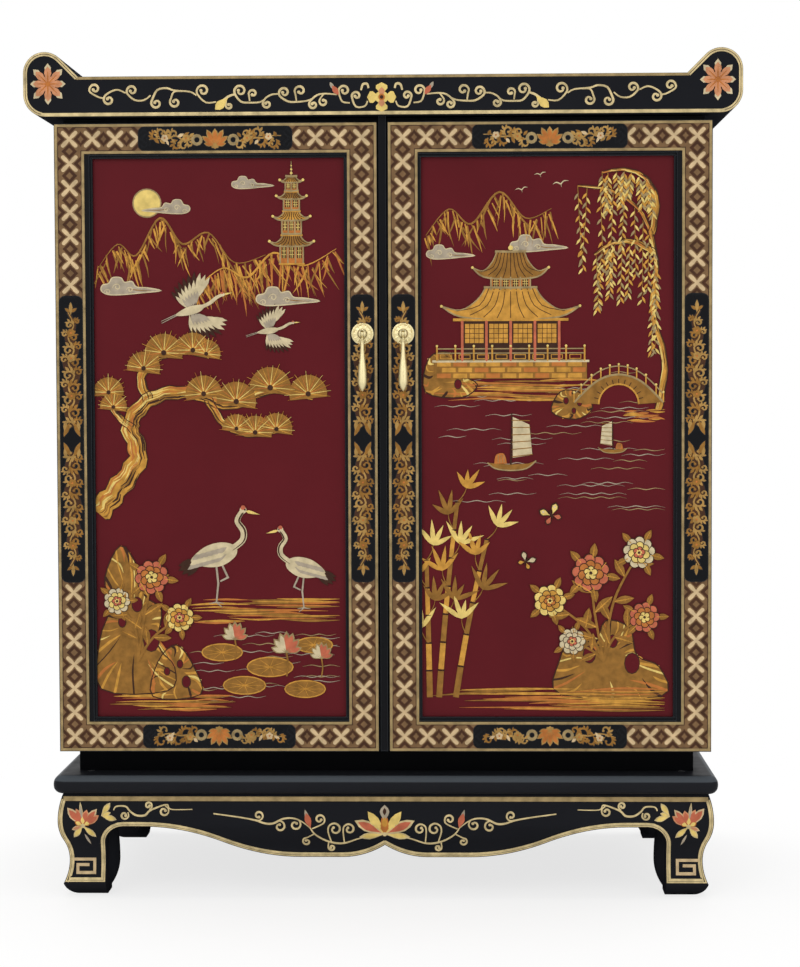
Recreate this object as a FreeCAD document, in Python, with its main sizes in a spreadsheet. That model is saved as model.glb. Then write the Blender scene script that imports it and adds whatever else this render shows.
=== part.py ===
import FreeCAD, Part
import math
import os
import re

import Sketcher

# A lacquered two-door cabinet on a low stand, as separate pieces drawn from one sheet of sizes in mm.
# The frame: origin on the floor under the middle, X to the right, Y to the back, Z up.
# The left-hand pieces are drawn, and the right-hand ones are their mirror images.

SIZES = [
    # Case
    ("carcass_width", 694, "across the outer faces of the two sides"),
    ("carcass_depth", 350, "front edge to back edge of the sides"),
    ("carcass_height", 685, "underside of the bottom to the top of the inner top"),
    ("carcass_thickness", 18, "boards of the case"),
    ("back_thickness", 6, "back panel"),
    ("back_rebate", 8, "how far the back panel laps into the boards round it"),
    ("fit_gap", 0.2, "play in a glued joint"),
    ("post_width", 44, "centre post behind the doors"),
    ("post_thickness", 18, "centre post, front to back"),
    ("post_nose_width", 8, "nose of the post between the doors"),
    ("post_nose_recess", 3, "nose behind the door fronts"),
    ("post_tenon", 6, "stub tenon at each end of the post"),
    ("shelf_thickness", 16, "shelves"),
    ("shelf_side_gap", 1, "play at each end of a shelf"),
    ("shelf_setback", 6, "shelf behind the post, and before the back"),
    ("lower_shelf_height", 205, "top of the bottom board to the underside of the lower shelf"),
    ("upper_shelf_height", 425, "top of the bottom board to the underside of the upper shelf"),
    ("shelf_pin_radius", 2.5, "pegs under the shelves"),
    ("shelf_pin_length", 18, "half in the side, half under the shelf"),
    ("shelf_pin_inset", 45, "pegs from the shelf's front and back edges"),
    ("dowel_radius", 4, "wooden dowels"),
    ("dowel_length", 26, "half in each board"),
    ("dowel_inset", 45, "end dowels from the edge of the joint"),
    # Doors
    ("door_thickness", 20, "frame of a door"),
    ("door_overhang", 6, "door beyond the side of the case"),
    ("door_gap", 10.8, "between the two doors"),
    ("door_reveal", 6.5, "door top below the top's underside"),
    ("hinge_gap", 3, "back of a door to the front of the case"),
    ("frame_width", 38, "outer stile of a door"),
    ("rail_width", 34.5, "top and bottom rail of a door"),
    ("meeting_width", 33, "stile of a door beside the other door"),
    ("panel_thickness", 8, "picture panel"),
    ("panel_recess", 6, "panel behind the front of its frame"),
    ("groove_depth", 8, "groove for the panel"),
    ("tenon_length", 14, "rail tenons in the stiles"),
    ("tenon_shoulder", 6, "tenon from the outer edge of its rail"),
    ("bead_width", 3, "bead round the panel"),
    ("bead_recess", 1.5, "bead behind the front of the frame"),
    # Hinges
    ("hinge_length", 50, "leaf and barrel"),
    ("hinge_inset", 95, "hinge middle from the end of the door"),
    ("barrel_radius", 2.8, "knuckles"),
    ("barrel_clear", 0.2, "knuckles from the side of the case"),
    ("barrel_relief", 0.4, "notch in the door round the knuckles"),
    ("knuckle_gap", 0.2, "between two knuckles"),
    ("hinge_pin_radius", 1.5, "hinge pin"),
    ("hinge_pin_end", 1, "pin beyond the knuckles at each end"),
    ("running_gap", 0.05, "play of a pin in its hole"),
    ("leaf_thickness", 1.2, "hinge leaf"),
    ("leaf_width", 15, "leaf on the wood"),
    ("leaf_clear", 0.3, "leaf from the side plane of the case"),
    ("hinge_screw_radius", 1.4, "hinge screw shank"),
    ("hinge_screw_head", 2.5, "hinge screw head"),
    ("hinge_screw_length", 12, "hinge screw"),
    ("hinge_screw_spread", 34, "between the two screws of a leaf"),
    # Pulls
    ("pull_height", 452, "swing axis of the drop above the foot of the door"),
    ("rosette_radius", 12, "round plate"),
    ("rosette_thickness", 2.5, "round plate"),
    ("boss_radius", 5.5, "boss that holds the drop"),
    ("boss_reach", 12, "boss before the door"),
    ("drop_axis_reach", 7, "swing axis before the door"),
    ("drop_length", 62, "swing axis to the tip of the drop"),
    ("drop_radius", 5, "drop at its widest"),
    ("drop_tip_length", 11, "widest part to the tip"),
    ("drop_neck_radius", 1.9, "neck under the collar"),
    ("drop_collar_radius", 2.8, "collar"),
    ("drop_collar_gap", 1, "collar below the boss"),
    ("drop_eye_radius", 3, "eye of the drop"),
    ("drop_eye_width", 2.8, "eye of the drop, along the pin"),
    ("drop_stem_radius", 1.1, "stem between the eye and the collar"),
    ("slot_clear", 0.4, "slot in the boss round the eye"),
    ("drop_pin_radius", 1, "cross pin in the boss"),
    ("drop_pin_inset", 0.55, "ends of the cross pin inside the boss"),
    ("stud_radius", 2.4, "stud of the boss through the stile"),
    ("nut_radius", 4.6, "nut across its corners, halved"),
    ("nut_height", 4, "nut"),
    ("nut_sink", 1, "nut below the back of the door"),
    ("nut_room", 2.4, "hole round the nut"),
    # Catches
    ("catch_length", 46, "magnet block, along the door"),
    ("catch_height", 14, "magnet block"),
    ("catch_depth", 20, "magnet block, front to back"),
    ("catch_proud", 1, "magnet block before the front of the case"),
    ("catch_offset", 34, "magnet block from the middle of the cabinet"),
    ("strike_length", 40, "steel plate on the door"),
    ("strike_height", 11, "steel plate on the door"),
    ("strike_thickness", 1.5, "steel plate on the door"),
    # Top
    ("cornice_height", 42.5, "front band of the top"),
    ("top_overhang", 8, "top before the doors and behind the case"),
    ("scroll_overhang", 37, "scroll end beyond the side of the case"),
    ("scroll_rise", 26.5, "scroll above the top board"),
    ("scroll_radius", 23, "head of the scroll"),
    ("scroll_foot_radius", 24, "round under the scroll end"),
    ("rail_thickness", 56, "front and back band, front to back"),
    ("top_thickness", 18, "top board"),
    ("tongue_length", 8, "tongue round the top board"),
    ("tongue_thickness", 8, "tongue round the top board"),
    ("rail_dowel_height", 13, "band dowels above the underside"),
    ("screw_radius", 2, "wood screw shank"),
    ("screw_head", 4, "wood screw head"),
    ("screw_setback", 12, "top screws behind the front of the case"),
    ("top_screw_length", 34, "screws from the inner top into the bands"),
    ("screw_spread", 180, "between the two inner top screws of a row"),
    ("screw_end_inset", 50, "outer top screws from the ends of the bands"),
    # Waist
    ("waist_height", 26, "frame between case and stand"),
    ("waist_inset", 10, "frame inside the case all round"),
    ("waist_thickness", 22, "rails of the frame"),
    ("waist_dowel_spread", 420, "upper dowels of a long rail"),
    ("waist_foot_spread", 240, "lower dowels of a long rail"),
    # Stand
    ("stand_overhang", 3, "knees beyond the doors and the back"),
    ("stand_height", 114, "floor to the underside of the stand board"),
    ("board_thickness", 20, "stand board"),
    ("board_overhang", 5, "stand board beyond the knees"),
    ("board_corner", 12, "round of the stand board's corners"),
    ("board_top_round", 9.5, "round of the upper edge"),
    ("board_edge_flat", 2, "straight band between the rounds of the edge"),
    ("leg_width", 51, "leg from its knee to its inner edge"),
    ("ear_reach", 86, "leg's bracket from the knee"),
    ("ear_thickness", 22, "leg's bracket"),
    ("arch_height", 78, "underside of the bracket"),
    ("spandrel_radius", 20, "curve between leg and bracket"),
    ("knee_height", 84, "widest part of the leg"),
    ("knee_inset", 5.5, "leg's top behind the knee"),
    ("ankle_height", 40, "slimmest part of the leg"),
    ("ankle_inset", 11, "ankle behind the knee"),
    ("toe_height", 14.5, "foot of the painted face"),
    ("toe_inset", 5, "toe behind the knee"),
    ("sole_inset", 25, "sole behind the knee"),
    ("hoof_centre", 44, "round hoof from the two knee faces"),
    ("hoof_radius", 17.5, "hoof at its widest"),
    ("hoof_height", 36, "widest part of the hoof"),
    ("hoof_waist", 5, "hoof at the top of the leg"),
    ("hoof_sole", 3, "hoof on the floor"),
    ("apron_thickness", 22, "aprons"),
    ("apron_low", 43, "lobes of the front apron above the floor"),
    ("apron_notch", 57, "middle notch of the front apron above the floor"),
    ("apron_notch_half", 46, "notch from the middle to its lobe"),
    ("apron_lobe_half", 92, "lobes from the middle"),
    ("apron_flat", 8, "straight end of an apron's lower edge"),
    ("side_apron_low", 55, "side apron above the floor"),
    ("side_lobe_half", 30, "flat middle of a side apron, halved"),
    ("apron_tenon", 12, "apron tenons in the brackets"),
    ("apron_tenon_setback", 9, "tenon behind the knee face"),
    ("apron_tenon_thickness", 8, "apron tenon"),
    ("apron_tenon_margin", 6, "tenon from the upper and lower edges"),
    ("stand_screw_length", 46, "screws from the stand board into the legs"),
    ("stand_screw_inset", 32, "stand screws from the knees"),
]

# Places that follow from the sizes: levels up from the floor
BOARD_Z = "stand_height"
WAIST_Z = "(stand_height + board_thickness)"
CASE_Z = "(stand_height + board_thickness + waist_height)"
FLOOR_Z = f"({CASE_Z} + carcass_thickness)"
CEILING_Z = f"({CASE_Z} + carcass_height - carcass_thickness)"
CORNICE_Z = f"({CASE_Z} + carcass_height)"
TOP_Z = f"({CORNICE_Z} + cornice_height)"
DOOR_HEIGHT = "(carcass_height - door_reveal)"

# Depths, from the fronts of the pulls to the back edge of the top
BODY_DEPTH = "(door_thickness + hinge_gap + carcass_depth)"
DOOR_Y = f"((boss_reach - {BODY_DEPTH} - top_overhang)/2)"
DOOR_BACK_Y = f"({DOOR_Y} + door_thickness)"
CASE_Y = f"({DOOR_BACK_Y} + hinge_gap)"
BACK_Y = f"({CASE_Y} + carcass_depth)"
TOP_Y = f"({DOOR_Y} - top_overhang)"
TOP_DEPTH = f"({BODY_DEPTH} + 2*top_overhang)"
MIDDLE_Y = f"({DOOR_Y} + {BODY_DEPTH}/2)"
STAND_DEPTH = f"({BODY_DEPTH} + 2*stand_overhang)"
STAND_Y = f"({DOOR_Y} - stand_overhang)"

# Widths, as distances from the middle
CASE_HALF = "(carcass_width/2)"
INNER_HALF = "(carcass_width/2 - carcass_thickness)"
DOOR_HALF = "(carcass_width/2 + door_overhang)"
DOOR_WIDTH = f"({DOOR_HALF} - door_gap/2)"
STAND_HALF = f"({DOOR_HALF} + stand_overhang)"
TOP_HALF = "(carcass_width/2 + scroll_overhang)"
SCROLL_WIDTH = "(2*scroll_radius*sqrt(0.5) + scroll_rise)"
BAND_HALF = f"({TOP_HALF} - {SCROLL_WIDTH})"
WAIST_HALF = "(carcass_width/2 - waist_inset)"
HINGE_X = f"(-{CASE_HALF} - barrel_clear - barrel_radius)"
HINGE_Y = f"({DOOR_BACK_Y} + hinge_gap/2)"
PULL_X = "(-door_gap/2 - meeting_width/2)"
PULL_Z = f"({CASE_Z} + pull_height)"

doc = FreeCAD.newDocument("cabinet_on_stand")
sheet = doc.addObject("Spreadsheet::Sheet", "dims")
for row, (alias, value, what) in enumerate(SIZES, 1):
    sheet.set(f"A{row}", alias)
    sheet.set(f"B{row}", str(value))
    sheet.set(f"C{row}", what)
    sheet.setAlias(f"B{row}", alias)
doc.recompute()

ALIASES = {alias for alias, value, what in SIZES}
PIECES = []


def sized(text):
    """Writes the sheet's name before each size in an expression."""
    return re.sub(r"[a-z][a-z_]*", lambda word: "dims." + word[0] if word[0] in ALIASES else word[0], text)


def number(text):
    """The present value of an expression."""
    return float(sheet.evalExpression(sized(text)))


def bind(thing, prop, text):
    thing.setExpression(prop, sized(text))


def place(thing, x, y, z, turn=None):
    """Puts a thing at a spot, turned first by (axis, degrees)."""
    if turn:
        rotation = FreeCAD.Rotation(FreeCAD.Vector(turn[0]), turn[1])
        thing.Placement = FreeCAD.Placement(FreeCAD.Vector(), rotation)
    for letter, text in zip("xyz", (x, y, z)):
        bind(thing, f"Placement.Base.{letter}", text)
    return thing


UP = None
DOWN = ((1, 0, 0), 180)
BACKWARD = ((1, 0, 0), -90)
FORWARD = ((1, 0, 0), 90)
RIGHTWARD = ((0, 1, 0), 90)


def block(x, y, z, length, width, height):
    box = doc.addObject("Part::Box", "block")
    for prop, text in (("Length", length), ("Width", width), ("Height", height)):
        bind(box, prop, text)
    return place(box, x, y, z)


def rod(x, y, z, radius, length, way=UP):
    cylinder = doc.addObject("Part::Cylinder", "rod")
    bind(cylinder, "Radius", radius)
    bind(cylinder, "Height", length)
    return place(cylinder, x, y, z, way)


def joined(*things):
    fuse = doc.addObject("Part::MultiFuse", "joined")
    fuse.Shapes = list(things)
    fuse.Refine = True
    return fuse


def less(base, *tools):
    cut = doc.addObject("Part::Cut", "less")
    cut.Base = base
    cut.Tool = tools[0] if len(tools) == 1 else together(*tools)
    return cut


def shared(base, tool):
    common = doc.addObject("Part::Common", "shared")
    common.Base = base
    common.Tool = tool
    return common


def together(*things):
    group = doc.addObject("Part::Compound", "together")
    group.Links = list(things)
    return group


def flipped(thing, normal=(1, 0, 0), base_y="0"):
    mirror = doc.addObject("Part::Mirroring", "flipped")
    mirror.Source = thing
    mirror.Normal = normal
    bind(mirror, "Base.y", base_y)
    return mirror


def front_to_back(thing):
    """The same thing at the back of the stand."""
    return flipped(thing, (0, 1, 0), MIDDLE_Y)


def piece(label, thing):
    thing.Label = label
    PIECES.append(thing)
    return thing


def pair(name, thing):
    """A left-hand piece and its mirror image; name holds a gap for the hand."""
    piece(name.format("left"), thing)
    piece(name.format("right"), flipped(thing))


def bend(start, finish, radius, turn):
    """The short arc between two points that turns to the left or to the right."""
    chord = finish - start
    across = FreeCAD.Vector(-chord.y, chord.x, 0).normalize()
    away = math.sqrt(max(radius**2 - chord.Length**2 / 4, 0))
    centre = (start + finish) * 0.5 + across * (away if turn == "left" else -away)
    ends = (start, finish) if turn == "left" else (finish, start)
    angles = [math.atan2(spot.y - centre.y, spot.x - centre.x) for spot in ends]
    return Part.ArcOfCircle(Part.Circle(centre, FreeCAD.Vector(0, 0, 1), radius), *angles)


def outline(body, plane, corners):
    """Draws a closed outline. A corner is (x, y), reached by a straight edge, or (x, y, turn, radius)."""
    sketch = body.newObject("Sketcher::SketchObject", "outline")
    support = next(feature for feature in body.Origin.OriginFeatures if feature.Role == plane)
    sketch.AttachmentSupport = [(support, "")]
    sketch.MapMode = "FlatFace"
    spots = [FreeCAD.Vector(number(corner[0]), number(corner[1]), 0) for corner in corners]
    edges = []
    for here, corner in enumerate(corners):
        start, finish = spots[here - 1], spots[here]
        if len(corner) == 2:
            edges.append((sketch.addGeometry(Part.LineSegment(start, finish)), 1, 2))
            continue
        turn, radius = corner[2:]
        edge = sketch.addGeometry(bend(start, finish, number(radius), turn))
        edges.append((edge, 1, 2) if turn == "left" else (edge, 2, 1))
        rule = sketch.addConstraint(Sketcher.Constraint("Radius", edge, number(radius)))
        bind(sketch, f"Constraints[{rule}]", radius)
    for here, corner in enumerate(corners):
        edge, first, last = edges[here]
        following, following_first, following_last = edges[(here + 1) % len(edges)]
        sketch.addConstraint(Sketcher.Constraint("Coincident", edge, last, following, following_first))
        for kind, text in zip(("DistanceX", "DistanceY"), corner[:2]):
            rule = sketch.addConstraint(Sketcher.Constraint(kind, -1, 1, edge, last, number(text)))
            bind(sketch, f"Constraints[{rule}]", text)
    return sketch


def prism(plane, corners, length, spot):
    """An outline carried along +X, +Y or +Z, whichever stands on its plane."""
    body = doc.addObject("PartDesign::Body", "prism")
    sketch = outline(body, plane, corners)
    pad = body.newObject("PartDesign::Pad", "pad")
    pad.Profile = sketch
    pad.Reversed = plane == "XZ_Plane"
    bind(pad, "Length", length)
    return place(body, *spot)


def turned(corners, spot, way=UP):
    """An outline of (radius, height) corners turned round the upright axis."""
    body = doc.addObject("PartDesign::Body", "turned")
    sketch = outline(body, "XZ_Plane", corners)
    revolution = body.newObject("PartDesign::Revolution", "revolution")
    revolution.Profile = sketch
    revolution.ReferenceAxis = (sketch, ["V_Axis"])
    revolution.Angle = 360
    return place(body, *spot, way)


def arc_radius(run, rise):
    """Radius of an arc that leaves along the run's direction and comes off it by the rise."""
    return f"((({run})^2 + ({rise})^2)/(2*({rise})))"


def halfway(a, b):
    return f"(({a} + {b})/2)"


def screw(x, y, z, way, head, shank, length, slack="0"):
    """A countersunk screw from its head at a spot; slack widens it into the hole it needs."""
    cone = doc.addObject("Part::Cone", "head")
    bind(cone, "Radius1", f"{head} + {slack}")
    bind(cone, "Radius2", f"{shank} + {slack}")
    bind(cone, "Height", f"{head} - {shank}")
    place(cone, x, y, z, way)
    return joined(cone, rod(x, y, z, f"{shank} + {slack}", f"{length} + {slack}", way))


def dowel(x, y, z, way=UP):
    """A dowel whose lower end is at a spot."""
    return rod(x, y, z, "dowel_radius", "dowel_length", way)


def dowel_hole(x, y, z, way=UP):
    """The hole for a dowel, a little wider and longer than it."""
    low = {UP: (x, y, f"{z} - fit_gap"), RIGHTWARD: (f"{x} - fit_gap", y, z)}[way]
    return rod(*low, "dowel_radius + fit_gap/2", "dowel_length + 2*fit_gap", way)


# Dowels of the case, the waist and the top, on the left side, and the holes they need
case_dowel_rows = [f"({CASE_Y} + dowel_inset)", f"({CASE_Y} + carcass_depth/2)", f"({BACK_Y} - dowel_inset)"]
case_dowel_x = f"(-{CASE_HALF} + carcass_thickness/2)"
low_dowel_spots = [(case_dowel_x, y, f"({FLOOR_Z} - dowel_length/2)") for y in case_dowel_rows]
high_dowel_spots = [(case_dowel_x, y, f"({CEILING_Z} - dowel_length/2)") for y in case_dowel_rows]

waist_front_y = f"({CASE_Y} + waist_inset)"
waist_back_y = f"({BACK_Y} - waist_inset)"
waist_rows = [f"({waist_front_y} + waist_thickness/2)", f"({waist_back_y} - waist_thickness/2)"]
waist_top_spots = [("(-waist_dowel_spread/2)", y, f"({CASE_Z} - dowel_length/2)") for y in waist_rows]
waist_foot_spots = [("(-waist_foot_spread/2)", y, f"({WAIST_Z} - dowel_length/2)") for y in waist_rows]

band_rows = [f"({TOP_Y} + rail_thickness/2)", f"({TOP_Y} + {TOP_DEPTH} - rail_thickness/2)"]
band_spots = [(f"(-{BAND_HALF} - dowel_length/2)", y, f"({CORNICE_Z} + rail_dowel_height)") for y in band_rows]

upright_spots = low_dowel_spots + high_dowel_spots + waist_top_spots + waist_foot_spots
left_dowels = [dowel(*spot) for spot in upright_spots] + [dowel(*spot, RIGHTWARD) for spot in band_spots]
piece("dowels", together(*left_dowels, *[flipped(thing) for thing in left_dowels]))


def holes(spots, way=UP):
    """The dowel holes of the left side and of the right side."""
    left = [dowel_hole(*spot, way) for spot in spots]
    return left + [flipped(thing) for thing in left]


# Screws that hold the top to the case and the stand board to the legs
top_screw_rows = [f"({CASE_Y} + screw_setback)", f"({BACK_Y} - screw_setback)"]
top_screw_reaches = ["(screw_spread/2)", f"({BAND_HALF} - screw_end_inset)"]
top_screw_columns = [f"({sign}{reach})" for reach in top_screw_reaches for sign in "-+"]
top_screw_spots = [(x, y, CEILING_Z) for y in top_screw_rows for x in top_screw_columns]
stand_screw_spots = [(f"(-{STAND_HALF} + stand_screw_inset)", f"({STAND_Y} + stand_screw_inset)", WAIST_Z)]
hinge_levels = [f"({CASE_Z} + hinge_inset)", f"({CASE_Z} + {DOOR_HEIGHT} - hinge_inset)"]
hinge_screw_x = f"(-{CASE_HALF} + leaf_clear + leaf_width/2)"
hinge_screw_levels = [f"({z} {sign} hinge_screw_spread/2)" for z in hinge_levels for sign in "-+"]


def top_screws(slack="0"):
    size = ("screw_head", "screw_radius", "top_screw_length")
    return [screw(*spot, UP, *size, slack) for spot in top_screw_spots]


def stand_screws(slack="0"):
    corner = screw(*stand_screw_spots[0], DOWN, "screw_head", "screw_radius", "stand_screw_length", slack)
    front = [corner, flipped(corner)]
    return front + [front_to_back(thing) for thing in front]


def hinge_screws(y, way, slack="0"):
    size = ("hinge_screw_head", "hinge_screw_radius", "hinge_screw_length")
    return [screw(hinge_screw_x, y, z, way, *size, slack) for z in hinge_screw_levels]


case_leaf_face = f"({CASE_Y} - leaf_thickness)"
door_leaf_face = f"({DOOR_BACK_Y} + leaf_thickness)"
case_screws = hinge_screws(case_leaf_face, BACKWARD)
case_screw_holes = hinge_screws(case_leaf_face, BACKWARD, "fit_gap")
door_screws = hinge_screws(door_leaf_face, FORWARD)
door_screw_holes = hinge_screws(door_leaf_face, FORWARD, "fit_gap")
right_case_screws = [flipped(thing) for thing in case_screws]
piece("screws", together(*top_screws(), *stand_screws(), *case_screws, *right_case_screws))
pair("{}_door_hinge_screws", together(*door_screws))

# Case: bottom and inner top run over the sides; the back panel lies in a rebate all round
rebate_y = f"({BACK_Y} - back_thickness)"
rebate_half = f"({INNER_HALF} + back_rebate)"
rebate_low = f"({FLOOR_Z} - back_rebate)"
rebate_tall = f"({CEILING_Z} - {FLOOR_Z} + 2*back_rebate)"
back_rebate_cut = block(
    f"-{rebate_half}", rebate_y, rebate_low, f"2*{rebate_half}", "back_thickness", rebate_tall
)
piece(
    "back_panel",
    block(
        f"-{rebate_half} + fit_gap", rebate_y, f"{rebate_low} + fit_gap",
        f"2*({rebate_half} - fit_gap)", "back_thickness", f"{rebate_tall} - 2*fit_gap",
    ),
)


def case_board(z):
    return block(f"-{CASE_HALF}", CASE_Y, z, "carcass_width", "carcass_depth", "carcass_thickness")


post_tenon_width = "(post_width/2)"
post_tenon_depth = "(post_thickness/2)"


def post_tenon(z, slack="0"):
    """The stub tenon of the centre post, or with slack its mortise."""
    return block(
        f"-{post_tenon_width}/2 - {slack}", f"{CASE_Y} + post_thickness/4 - {slack}", f"{z} - {slack}",
        f"{post_tenon_width} + 2*{slack}", f"{post_tenon_depth} + 2*{slack}", f"post_tenon + 2*{slack}",
    )


low_tenon_z = f"({FLOOR_Z} - post_tenon)"
piece(
    "bottom_board",
    less(
        case_board(CASE_Z), back_rebate_cut, post_tenon(low_tenon_z, "fit_gap"),
        *holes(low_dowel_spots), *holes(waist_top_spots),
    ),
)
piece(
    "inner_top",
    less(
        case_board(CEILING_Z), back_rebate_cut, post_tenon(CEILING_Z, "fit_gap"),
        *holes(high_dowel_spots), *top_screws("fit_gap"),
    ),
)

# Shelves on their pegs
shelf_front = f"({CASE_Y} + post_thickness + shelf_setback)"
shelf_back = f"({rebate_y} - shelf_setback)"
shelf_half = f"({INNER_HALF} - shelf_side_gap)"
shelf_levels = {"lower": f"({FLOOR_Z} + lower_shelf_height)", "upper": f"({FLOOR_Z} + upper_shelf_height)"}
peg_rows = [f"({shelf_front} + shelf_pin_inset)", f"({shelf_back} - shelf_pin_inset)"]
peg_x = f"(-{INNER_HALF} - shelf_pin_length/2)"
peg_levels = [f"({z} - shelf_pin_radius - fit_gap/2)" for z in shelf_levels.values()]
peg_spots = [(peg_x, y, z) for z in peg_levels for y in peg_rows]
pegs = [rod(*spot, "shelf_pin_radius", "shelf_pin_length", RIGHTWARD) for spot in peg_spots]
peg_holes = [
    rod(f"({x} - fit_gap)", y, z, "shelf_pin_radius + fit_gap/2", "shelf_pin_length", RIGHTWARD)
    for x, y, z in peg_spots
]
piece("shelf_pins", together(*pegs, *[flipped(thing) for thing in pegs]))
for name, z in shelf_levels.items():
    shelf = block(
        f"-{shelf_half}", shelf_front, z, f"2*{shelf_half}", f"{shelf_back} - {shelf_front}", "shelf_thickness"
    )
    piece(f"{name}_shelf", shelf)

side_dowel_holes = [dowel_hole(*spot) for spot in low_dowel_spots + high_dowel_spots]
side = block(
    f"-{CASE_HALF}", CASE_Y, FLOOR_Z, "carcass_thickness", "carcass_depth", f"{CEILING_Z} - {FLOOR_Z}"
)
pair("{}_side", less(side, back_rebate_cut, *side_dowel_holes, *peg_holes, *case_screw_holes))

# Centre post: a board behind the doors with a nose that fills the gap between them
post_board = block(
    "-post_width/2", CASE_Y, FLOOR_Z, "post_width", "post_thickness", f"{CEILING_Z} - {FLOOR_Z}"
)
post_nose = block(
    "-post_nose_width/2", f"{DOOR_Y} + post_nose_recess", CASE_Z,
    "post_nose_width", f"{CASE_Y} - {DOOR_Y} - post_nose_recess", "carcass_height",
)
piece("centre_post", joined(post_board, post_nose, post_tenon(low_tenon_z), post_tenon(CEILING_Z)))

# Top: two bands and two scroll ends hold a board by its tongues
band_panel_y = f"({TOP_Y} + rail_thickness)"
band_panel_depth = f"({TOP_DEPTH} - 2*rail_thickness)"
tongue_z = f"({TOP_Z} - top_thickness/2 - tongue_thickness/2)"
top_board = block(
    f"-{BAND_HALF}", band_panel_y, f"{TOP_Z} - top_thickness",
    f"2*{BAND_HALF}", band_panel_depth, "top_thickness",
)
long_tongue = block(
    f"-{BAND_HALF}", f"{band_panel_y} - tongue_length", tongue_z,
    f"2*{BAND_HALF}", f"{band_panel_depth} + 2*tongue_length", "tongue_thickness",
)
cross_tongue = block(
    f"-{BAND_HALF} - tongue_length", band_panel_y, tongue_z,
    f"2*({BAND_HALF} + tongue_length)", band_panel_depth, "tongue_thickness",
)
piece("top_board", joined(top_board, long_tongue, cross_tongue))
long_groove = block(
    f"-{BAND_HALF}", f"{band_panel_y} - tongue_length - fit_gap", f"{tongue_z} - fit_gap",
    f"2*{BAND_HALF}", f"{band_panel_depth} + 2*(tongue_length + fit_gap)", "tongue_thickness + 2*fit_gap",
)
cross_groove = block(
    f"-{BAND_HALF} - tongue_length - fit_gap", f"{band_panel_y} - fit_gap", f"{tongue_z} - fit_gap",
    f"2*({BAND_HALF} + tongue_length + fit_gap)", f"{band_panel_depth} + 2*fit_gap",
    "tongue_thickness + 2*fit_gap",
)
for name, y in (("front", TOP_Y), ("back", f"({TOP_Y} + {TOP_DEPTH} - rail_thickness)")):
    band = block(f"-{BAND_HALF}", y, CORNICE_Z, f"2*{BAND_HALF}", "rail_thickness", "cornice_height")
    band_holes = holes(band_spots, RIGHTWARD)
    piece(f"top_{name}_band", less(band, long_groove, *band_holes, *top_screws("fit_gap")))

scroll_middle = "(cornice_height + scroll_rise - scroll_radius)"
scroll_outline = [
    (SCROLL_WIDTH, "0"),
    (SCROLL_WIDTH, "cornice_height"),
    ("scroll_radius*(1 + sqrt(0.5))", f"{scroll_middle} + scroll_radius*sqrt(0.5)"),
    ("0", scroll_middle, "left", "scroll_radius"),
    ("0", "scroll_foot_radius"),
    ("scroll_foot_radius", "0", "left", "scroll_foot_radius"),
]
scroll = prism("XZ_Plane", scroll_outline, TOP_DEPTH, (f"-{TOP_HALF}", TOP_Y, CORNICE_Z))
pair("{}_scroll_end", less(scroll, cross_groove, *[dowel_hole(*spot, RIGHTWARD) for spot in band_spots]))

# Left door: stiles and rails round a panel in a groove, and a bead before the panel
door_left = f"(-{DOOR_HALF})"
outer_stile_in = f"({door_left} + frame_width)"
inner_stile_x = "(-door_gap/2 - meeting_width)"
opening_width = f"({inner_stile_x} - {outer_stile_in})"
top_rail_z = f"({CASE_Z} + {DOOR_HEIGHT} - rail_width)"
opening_z = f"({CASE_Z} + rail_width)"
opening_height = f"({DOOR_HEIGHT} - 2*rail_width)"
panel_y = f"({DOOR_Y} + panel_recess)"
groove = block(
    f"{outer_stile_in} - groove_depth", f"{panel_y} - fit_gap", f"{opening_z} - groove_depth",
    f"{opening_width} + 2*groove_depth", "panel_thickness + 2*fit_gap", f"{opening_height} + 2*groove_depth",
)
panel = block(
    f"{outer_stile_in} - groove_depth + fit_gap", panel_y, f"{opening_z} - groove_depth + fit_gap",
    f"{opening_width} + 2*(groove_depth - fit_gap)", "panel_thickness",
    f"{opening_height} + 2*(groove_depth - fit_gap)",
)
pair("{}_door_panel", panel)

tenon_height = "(rail_width - tenon_shoulder - groove_depth)"
tenon_levels = [f"({CASE_Z} + tenon_shoulder)", f"({top_rail_z} + groove_depth)"]


def rail_tenons(z, slack="0"):
    """Both tenons of a rail as one bar through it, or with slack their mortises."""
    return block(
        f"{outer_stile_in} - tenon_length - {slack}", f"{panel_y} - {slack}", f"{z} - {slack}",
        f"{opening_width} + 2*(tenon_length + {slack})", f"panel_thickness + 2*{slack}",
        f"{tenon_height} + 2*{slack}",
    )


mortises = [rail_tenons(z, "fit_gap") for z in tenon_levels]
for name, z, tenon_z in (("bottom", CASE_Z, tenon_levels[0]), ("top", top_rail_z, tenon_levels[1])):
    rail = block(outer_stile_in, DOOR_Y, z, opening_width, "door_thickness", "rail_width")
    pair("{}_door_" + name + "_rail", joined(less(rail, groove), rail_tenons(tenon_z)))


def stile(x, width):
    return block(x, DOOR_Y, CASE_Z, width, "door_thickness", DOOR_HEIGHT)


notch_depth = "(barrel_radius - hinge_gap/2 + barrel_relief)"
notch_width = f"({DOOR_HALF} - {CASE_HALF} + barrel_relief)"
hinge_notches = [
    block(
        door_left, f"{DOOR_BACK_Y} - {notch_depth}", f"{z} - hinge_length/2 - hinge_pin_end - barrel_relief",
        notch_width, notch_depth, "hinge_length + 2*(hinge_pin_end + barrel_relief)",
    )
    for z in hinge_levels
]
outer_stile = stile(door_left, "frame_width")
pair("{}_door_outer_stile", less(outer_stile, groove, *mortises, *hinge_notches, *door_screw_holes))

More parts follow.
